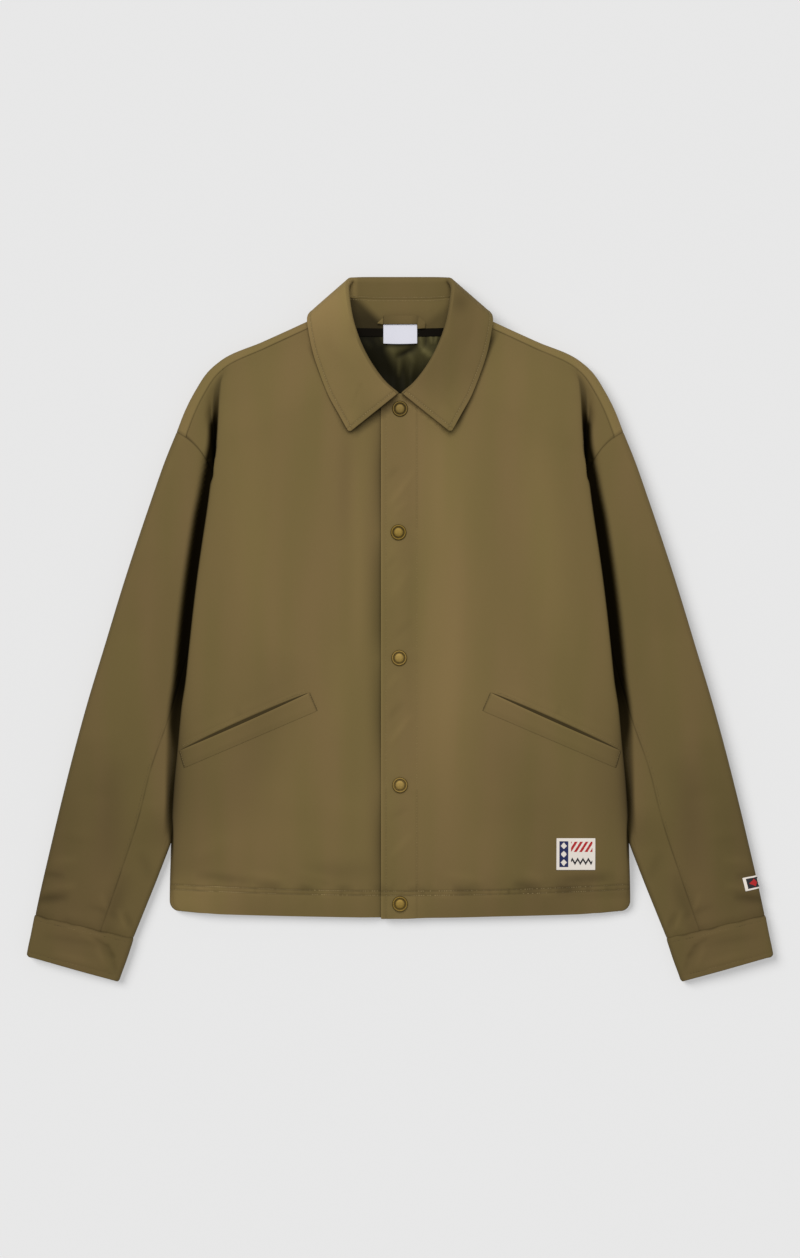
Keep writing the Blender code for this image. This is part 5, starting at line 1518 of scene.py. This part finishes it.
def make_snaps():
    profile = [(0, 2.95), (1.5, 2.93), (3.0, 2.85), (4.2, 2.70), (4.9, 2.50), (5.25, 2.24), (5.38, 1.95), (5.45, 1.72),
               (5.6, 1.62), (6.0, 1.60), (6.4, 1.62), (6.52, 1.80), (6.7, 2.15), (7.0, 2.42), (7.4, 2.55), (7.8, 2.48), (8.15, 2.24), (8.4, 1.8), (8.5, 1.3),
               (8.46, 1.0), (8.46, 0.7), (8.76, 0.55), (8.85, 0.3), (8.7, 0.0), (0, 0.0)]

    # the groove and the foot take the dark recess brass; on the foot, which flares out past the rim, it is a painted
    # contact shadow round the snap
    def tag(one, two):
        groove = 5.3 <= min(one[0], two[0]) and max(one[0], two[0]) <= 6.6
        return 1 if groove or max(one[1], two[1]) <= 1.0 else 0

    for i, (y, across, along) in enumerate(zip(SNAP_YS, (0.0, -1.7, -0.9, 0.0, 0.0), (-1.7, -0.4, 0.3, -0.1, 0.7))):
        bm = bmesh.new()
        lathe(bm, profile, 56, tag)
        for k in range(30):
            a = 2 * math.pi * k / 30
            made = bmesh.ops.create_icosphere(bm, subdivisions=2, radius=0.36)
            for v in made["verts"]:
                v.co.z = v.co.z * 0.8 + 1.70
                v.co.x += 6.0 * math.cos(a)
                v.co.y += 6.0 * math.sin(a)
        bmesh.ops.recalc_face_normals(bm, faces=bm.faces)
        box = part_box(f"snap_{i + 1}")
        for v in bm.verts:
            v.co = v.co * MM
        mesh = bpy.data.meshes.new(f"snap_cap_{i + 1}")
        bm.to_mesh(mesh)
        bm.free()
        mesh.shade_smooth()
        mesh.set_sharp_from_angle(angle=math.radians(60))
        obj = link(f"snap_cap_{i + 1}", mesh, [MAT[f"brass_{i + 1}"], MAT[f"recess_{i + 1}"]])
        base = float(np.max([on_front(x, y + s, 1) for x in (-6, 0.5, 7) for s in (-6, 0, 6)])) + CLOTH / 2 + 0.15
        obj.location = (across * MM, (y + along) * MM, min(base * MM, box[0][2] + 0.001))
        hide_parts(f"snap_{i + 1}")


# ------------------------------------------------------------------ neck: lining, tape, label, loop
# folds of the lining: raised in the cloth, with painted highlights on their ridges and painted shade in their troughs
LINING_FOLDS = creases([
    (386, 346, 397, 353, 4.5, 0.55), (398.8, 355, 398, 377, 1.9, 0.5), (394, 356.5, 418, 345, 3.5, -1.25), (419, 342, 424, 354, 2.6, 1.0),
    (422, 348, 433, 358, 3.8, 1.6), (419.5, 334, 421, 344, 1.5, 0.9), (430, 334, 431.5, 344, 1.5, 1.2), (436, 334, 434.5, 344, 1.5, 1.0),
    (425.5, 335, 425, 346, 1.6, -0.7), (440, 335, 437, 344, 1.8, -0.6), (407, 350, 414, 364, 3.0, 0.45), (412, 362, 409, 378, 2.4, 0.25),
    (403.5, 356, 403, 374, 2.2, -0.3), (362, 338, 372, 348, 3.0, 0.14), (377, 337, 384, 350, 2.6, -0.15), (374, 336, 381, 347, 2.2, 0.22)])


def make_neck():
    xs, ys = np.linspace(-1, 1, 110), np.linspace(214, 329.4, 64)
    rows = []
    for y in ys:
        wide = 60 + 26 * float(ease(214, 320, y))
        x = xs * wide
        ripple = np.zeros_like(x)
        for x0, h, w, lean in ((-58, 1.6, 12, 0.1), (-40, 1.0, 6, -0.12), (-24, 1.5, 7, 0.06), (-9, 2.4, 6, 0.03), (6, 1.6, 4, 0.10), (18, 2.2, 5, -0.10),
                               (29, 1.8, 3.5, 0.05), (38, 1.6, 3.5, 0.08), (47, 2.0, 4.5, 0.08), (63, 1.2, 10, 0)):
            ripple += h * bell(x - x0 - lean * (327 - y), w)
        z = back_z(x, y) + CLOTH / 2 + LAY_GAP + TRIM / 2 + 1.1 + ripple * float(ease(325, 296, y)) * 0.9
        line = np.full_like(x, y)
        for c in LINING_FOLDS:
            z = z + 1.3 * np.clip(ridge(x, line, *c), -1.2, 1.2)
        rows.append(np.stack([x, line, z], 1))
    rows = np.array(rows)
    # painted light and shade of the lining: dark on the wearer's right, lighter on the wearer's left but less so lower
    # down, and a painted shadow under the label's lower edge
    lx, ly = rows[..., 0], rows[..., 1]
    py = 628.5 - ly / PX
    beside = lx / PX + 399.5 - (378 + 0.45 * (py - 337))
    tone = 0.17 + 0.98 * ease(-3, 9, beside) * (1 - 0.86 * ease(350, 378, py))
    for c in LINING_FOLDS:
        tone = tone + ridge(lx, ly, *c) * (0.9 if c[5] > 0 else 0.75)
    tone = tone * (1 - 0.55 * bell(py - 344.6, 1.6) * ease(380, 384, lx / PX + 399.5) * (1 - ease(415, 419, lx / PX + 399.5)))
    obj = shell("lining_cloth", rows, 0.8, [MAT["lining"]], up=(0, 0, 1), tone=np.clip(tone, 0.07, 3.0))
    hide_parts("lining")
    tape = []
    for f in np.linspace(-4.3, 4.3, 8):
        line = []
        for x in np.linspace(-62, 62, 60):
            z = float(back_z(x, 332)) + CLOTH * 1.5 + 2 * LAY_GAP + TRIM / 2 + 0.3 + 0.18 * math.sin(x / 7.0)
            line.append((x, 332.0 + 0.0003 * x * x + f, z))
        tape.append(line)
    obj = shell("neck_tape_cloth", np.array(tape), TRIM, [MAT["tape"]], up=(0, 0, 1))
    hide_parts("neck_tape")
    top = float(back_z(62, 332)) + CLOTH * 1.5 + 2 * LAY_GAP + TRIM / 2 + 0.3 + TRIM + LAY_GAP
    label = []
    for y in np.linspace(319.4, 341.2, 24):
        label.append([(x, y + 0.5 * (x / 18) ** 2 * (1 if y < 325 else 0.2), top + 0.012 * (y - 319) + 0.35 * math.sin(x / 9.0) * (341 - y) / 22)
                      for x in np.linspace(-18.4, 19.0, 36)])
    obj = shell("neck_label_cloth", np.array(label), 0.7, [MAT["white"]], up=(0, 0, 1))
    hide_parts("neck_label")
    # loop: a flat strip, folded to a point at one end and turned down at the other
    low = np.array([(-24.9, 342.3, 15.4), (-18.4, 341.2, 15.8), (-18.1, 341.4, 16.9), (19.4, 341.6, 17.1), (19.6, 338.0, 16.8), (19.8, 336.4, 16.2)])
    high = np.array([(-24.7, 342.9, 15.4), (-18.4, 348.8, 15.8), (-18.1, 350.7, 16.6), (20.4, 350.6, 16.8), (28.5, 342.9, 16.6), (27.7, 337.0, 16.1)])
    at = [0, 0.3, 0.6, 0.85, 0.96, 1.0, 1.5, 2.0, 2.02, 2.06, 2.2, 2.4, 2.6, 2.8, 2.94, 2.98, 3.0, 3.03, 3.1, 3.3, 3.6, 3.9, 4.0, 4.1, 4.4, 4.7, 5.0]
    loop, tones = [], []
    for f in np.linspace(0, 1, 9):
        line, shade = [], []
        for k in at:
            i = min(int(k), 4)
            q = (low[i] * (1 - f) + high[i] * f) * (1 - (k - i)) + (low[i + 1] * (1 - f) + high[i + 1] * f) * (k - i)
            line.append((q[0], q[1], q[2] + 0.5 * math.sin(math.pi * f)))
            # the folded point a little lighter, painted shade just past it, and a painted line of shade at the turn
            # down
            dim = 0.95 if k < 1 else 0.80
            shade.append(dim * (1 - 0.5 * bell(k - 1.5, 0.55) * (k >= 0.9)) * (1 - 0.25 * bell(k - 3.0, 0.08)))
        loop.append(line)
        tones.append(shade)
    obj = shell("hanger_loop_cloth", np.array(loop), TRIM, [MAT["olive"]], up=(0, 0, 1), tone=np.array(tones))
    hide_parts("hanger_loop")


# ------------------------------------------------------------------ woven patch and sleeve badge
def make_patch():
    nx, ny = 87, 71
    xs, ys = np.linspace(175.3, 218.2, nx), np.linspace(-269.4, -234.3, ny)
    x, y = np.meshgrid(xs, ys)
    z = on_front(x, y, 1) + CLOTH / 2 + LAY_GAP + TRIM / 2 - 0.1
    p = np.stack([x, y, z], -1)
    u = (0.5 + np.arange(nx - 1)) / (nx - 1) * 2 - 1
    v = (0.5 + np.arange(ny - 1)) / (ny - 1) * 2 - 1
    u, v = np.meshgrid(u * 21.45, v * 17.55)
    kind = np.zeros(u.shape, int)
    kind[(u > -18.5) & (u < -8.5) & (np.abs(v) < 14.6)] = 2
    for c in (-9.4, 0.0, 9.4):
        kind[np.abs(u + 13.5) / 3.4 + np.abs(v - c) / 3.8 < 1] = 0
    kind[(u > -5.6) & (u < 18.4) & (v > 2.4) & (v < 14.2) & (np.mod(u - 0.62 * v + 40, 6.0) < 3.2)] = 1
    wave = np.abs(np.mod(u + 40, 6.0) / 3.0 - 1.0) * 2 - 1
    kind[(u > -5.6) & (u < 18.4) & (np.abs(v + 8.0 - 2.6 * wave) < 1.7)] = 3
    obj = shell("patch_label_cloth", p, TRIM, [MAT["cream"], MAT["red"], MAT["navy"], MAT["charcoal"]], up=(0, 0, 1), face_mat=kind)
    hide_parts("patch_label")


def make_badge():
    p, n = GRIDS["sleeve_left_upper"]
    outer = int(np.argmax(p[p.shape[0] * 7 // 8, :, 0]))
    r0, r1 = (place_at(-p[:, outer, 1], 276.5), place_at(-p[:, outer, 1], 290.5))
    across = run_length(p[int((r0 + r1) / 2), outer:])
    c0, c1 = outer - 1.5, outer + place_at(across, 19.0)
    count = 46
    pts = np.array([on_grid(p, n, [(r0 + (r1 - r0) * f, c0 + (c1 - c0) * g) for g in np.linspace(0, 1, count)], CLOTH / 2 + 0.55)[0]
                    for f in np.linspace(0, 1, count)])
    u, v = np.meshgrid(np.linspace(-1, 1, count - 1), np.linspace(-1, 1, count - 1))
    kind = np.ones(u.shape, int)
    kind[(np.abs(u) > 0.84) | (np.abs(v) > 0.80)] = 0
    kind[np.abs(u - 0.25) / 0.46 + np.abs(v) / 0.64 < 1] = 2
    kind[(np.abs(u + 0.52) < 0.12) & (np.abs(v) < 0.56)] = 0
    obj = shell("sleeve_badge_cloth", pts, 0.8, [MAT["cream"], MAT["charcoal"], MAT["red"]], up=(0, 0, 1), face_mat=kind)
    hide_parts("sleeve_badge")


# ------------------------------------------------------------------ all stitches
def front_line(xs, ys, side):
    z = on_front(np.array(xs), np.array(ys), side)
    return np.column_stack([xs, ys, z + CLOTH / 2]), np.tile((0, 0, 1.0), (len(xs), 1))


def make_stitches():
    hem = Stitches("stitches_hem", 3)
    for side, x0, x1 in ((1, -19.0, 252.5), (-1, -252.5, -22.5)):
        xs = np.linspace(x0, x1, 160)
        for ys in hem_rows(xs):
            hem.row(*front_line(xs, ys, side), pitch=2.6, length=1.8, wide=0.5, high=0.36, lift=0.2, skip=0.1 if side < 0 else 0.3, tone=0.98 if side < 0 else 0.84, patchy=True)
    hem.make(MAT["thread"])
    placket = Stitches("stitches_placket", 5)
    ys = np.linspace(-320, 236, 260)
    placket.row(*front_line(np.full(260, -15.6), ys, 1), wide=0.36, high=0.24, lift=0.03)
    ys = np.linspace(-292, 232, 260)
    placket.row(*front_line(np.full(260, 18.8), ys, 1), wide=0.36, high=0.24, lift=0.0)
    placket.make(MAT["thread_soft"])
    pocket = Stitches("stitches_pockets", 7)
    (ax, ay), (bx, by), (cx, cy), (dx, dy) = WELT_CORNERS
    for side in (1, -1):
        t = np.linspace(0.03, 0.97, 80)
        gape = 3.7 * np.sin(np.pi * t) ** 0.6 + 2.6
        xs, ys = ax * (1 - t) + bx * t + 0.408 * gape, ay * (1 - t) + by * t - np.sin(np.pi * t) + 0.913 * gape
        pts, up = front_line(xs * side, ys, side)
        pts[:, 2] += 0.6
        pocket.row(pts, up, wide=0.32, high=0.2, pitch=2.8, tone=0.85)
        for (p0, p1) in (((bx + 0.6, by - 1), (cx - 0.2, cy + 1.4)), ((ax - 1.2, ay - 1), (dx - 1.0, dy + 1.4))):
            t = np.linspace(0, 1, 12)
            xs, ys = p0[0] * (1 - t) + p1[0] * t, p0[1] * (1 - t) + p1[1] * t
            pts, up = front_line(xs * side, ys, side)
            pts[:, 2] += 0.25 + 1.0
            pocket.row(pts, up, wide=0.34, high=0.22, pitch=2.6, tone=0.8)
    pocket.make(MAT["thread_soft"])
    collar = Stitches("stitches_collar", 11)
    p, n = GRIDS["collar_leaf"]
    edge = edge_distance(p, "W")
    rows = p.shape[0]
    lines = [(r, place_at(edge[r], 4.4)) for r in range(6, rows - 6)]
    cols = [l for l in lines]
    collar.row(*on_grid(p, n, cols, LEAF / 2), pitch=3.0, length=2.0, wide=0.46, high=0.32, lift=0.14, tone=0.84)
    for sign in (1, -1):
        ends = edge_distance(p, "N" if sign > 0 else "S")
        line = []
        for c in range(5, 36):
            run = ends[::-1, c] if sign > 0 else ends[:, c]
            k = place_at(run, 4.4)
            line.append(((rows - 1 - k) if sign > 0 else k, c))
        collar.row(*on_grid(p, n, line, LEAF / 2 - 0.05), pitch=3.0, length=2.0, wide=0.46, high=0.32, lift=0.14, tone=0.84)
    inner = edge_distance(p, "E")
    line = [(r, place_at(inner[r][::-1], 1.6)) for r in range(20, rows - 20)]
    line = [(r, p.shape[1] - 1 - c) for r, c in line]
    collar.row(*on_grid(p, n, line, LEAF / 2 - 0.02), pitch=2.8, wide=0.38, tone=0.84, skip=0.08)
    b, bn = GRIDS["collar_stand"]
    top = edge_distance(b, "W")
    line = [(r, place_at(top[r], 1.6)) for r in range(20, rows - 20)]
    collar.row(*on_grid(b, bn, line, CLOTH / 2 - 0.02), pitch=2.8, wide=0.38, tone=0.82, skip=0.15)
    collar.make(MAT["thread"])
    sleeve = Stitches("stitches_sleeves", 13)
    for name in ("left", "right"):
        p, n = GRIDS[f"sleeve_{name}_upper"]
        d = edge_distance(p, "E")
        line = [(r, p.shape[1] - 1 - place_at(d[r][::-1], 2.8)) for r in range(60, p.shape[0] - 4)
                if float(valley(p[r, -4, 0], p[r, -4, 1])) < 0.05]
        sleeve.row(*on_grid(p, n, line, CLOTH / 2 - 0.06), pitch=3.2, wide=0.26, high=0.12, tone=0.60, skip=0.25)
        c, cn, ss = GRIDS[f"cuff_{name}"]
        for want in (4.2, ss[-1] - 5.2):
            r = place_at(ss, want)
            line = [(r, k) for k in range(6, 80)]
            sleeve.row(*on_grid(c, cn, line, CUFF / 2 - 0.06), pitch=3.2, wide=0.30, high=0.13, tone=0.68, skip=0.3, patchy=True)
    sleeve.make(MAT["thread_soft"])


back_piece()
make_fronts()
make_sleeves()
make_cuffs()
make_collar()
make_welts()
make_snaps()
make_neck()
make_patch()
make_badge()
make_stitches()


bpy.context.view_layer.update()
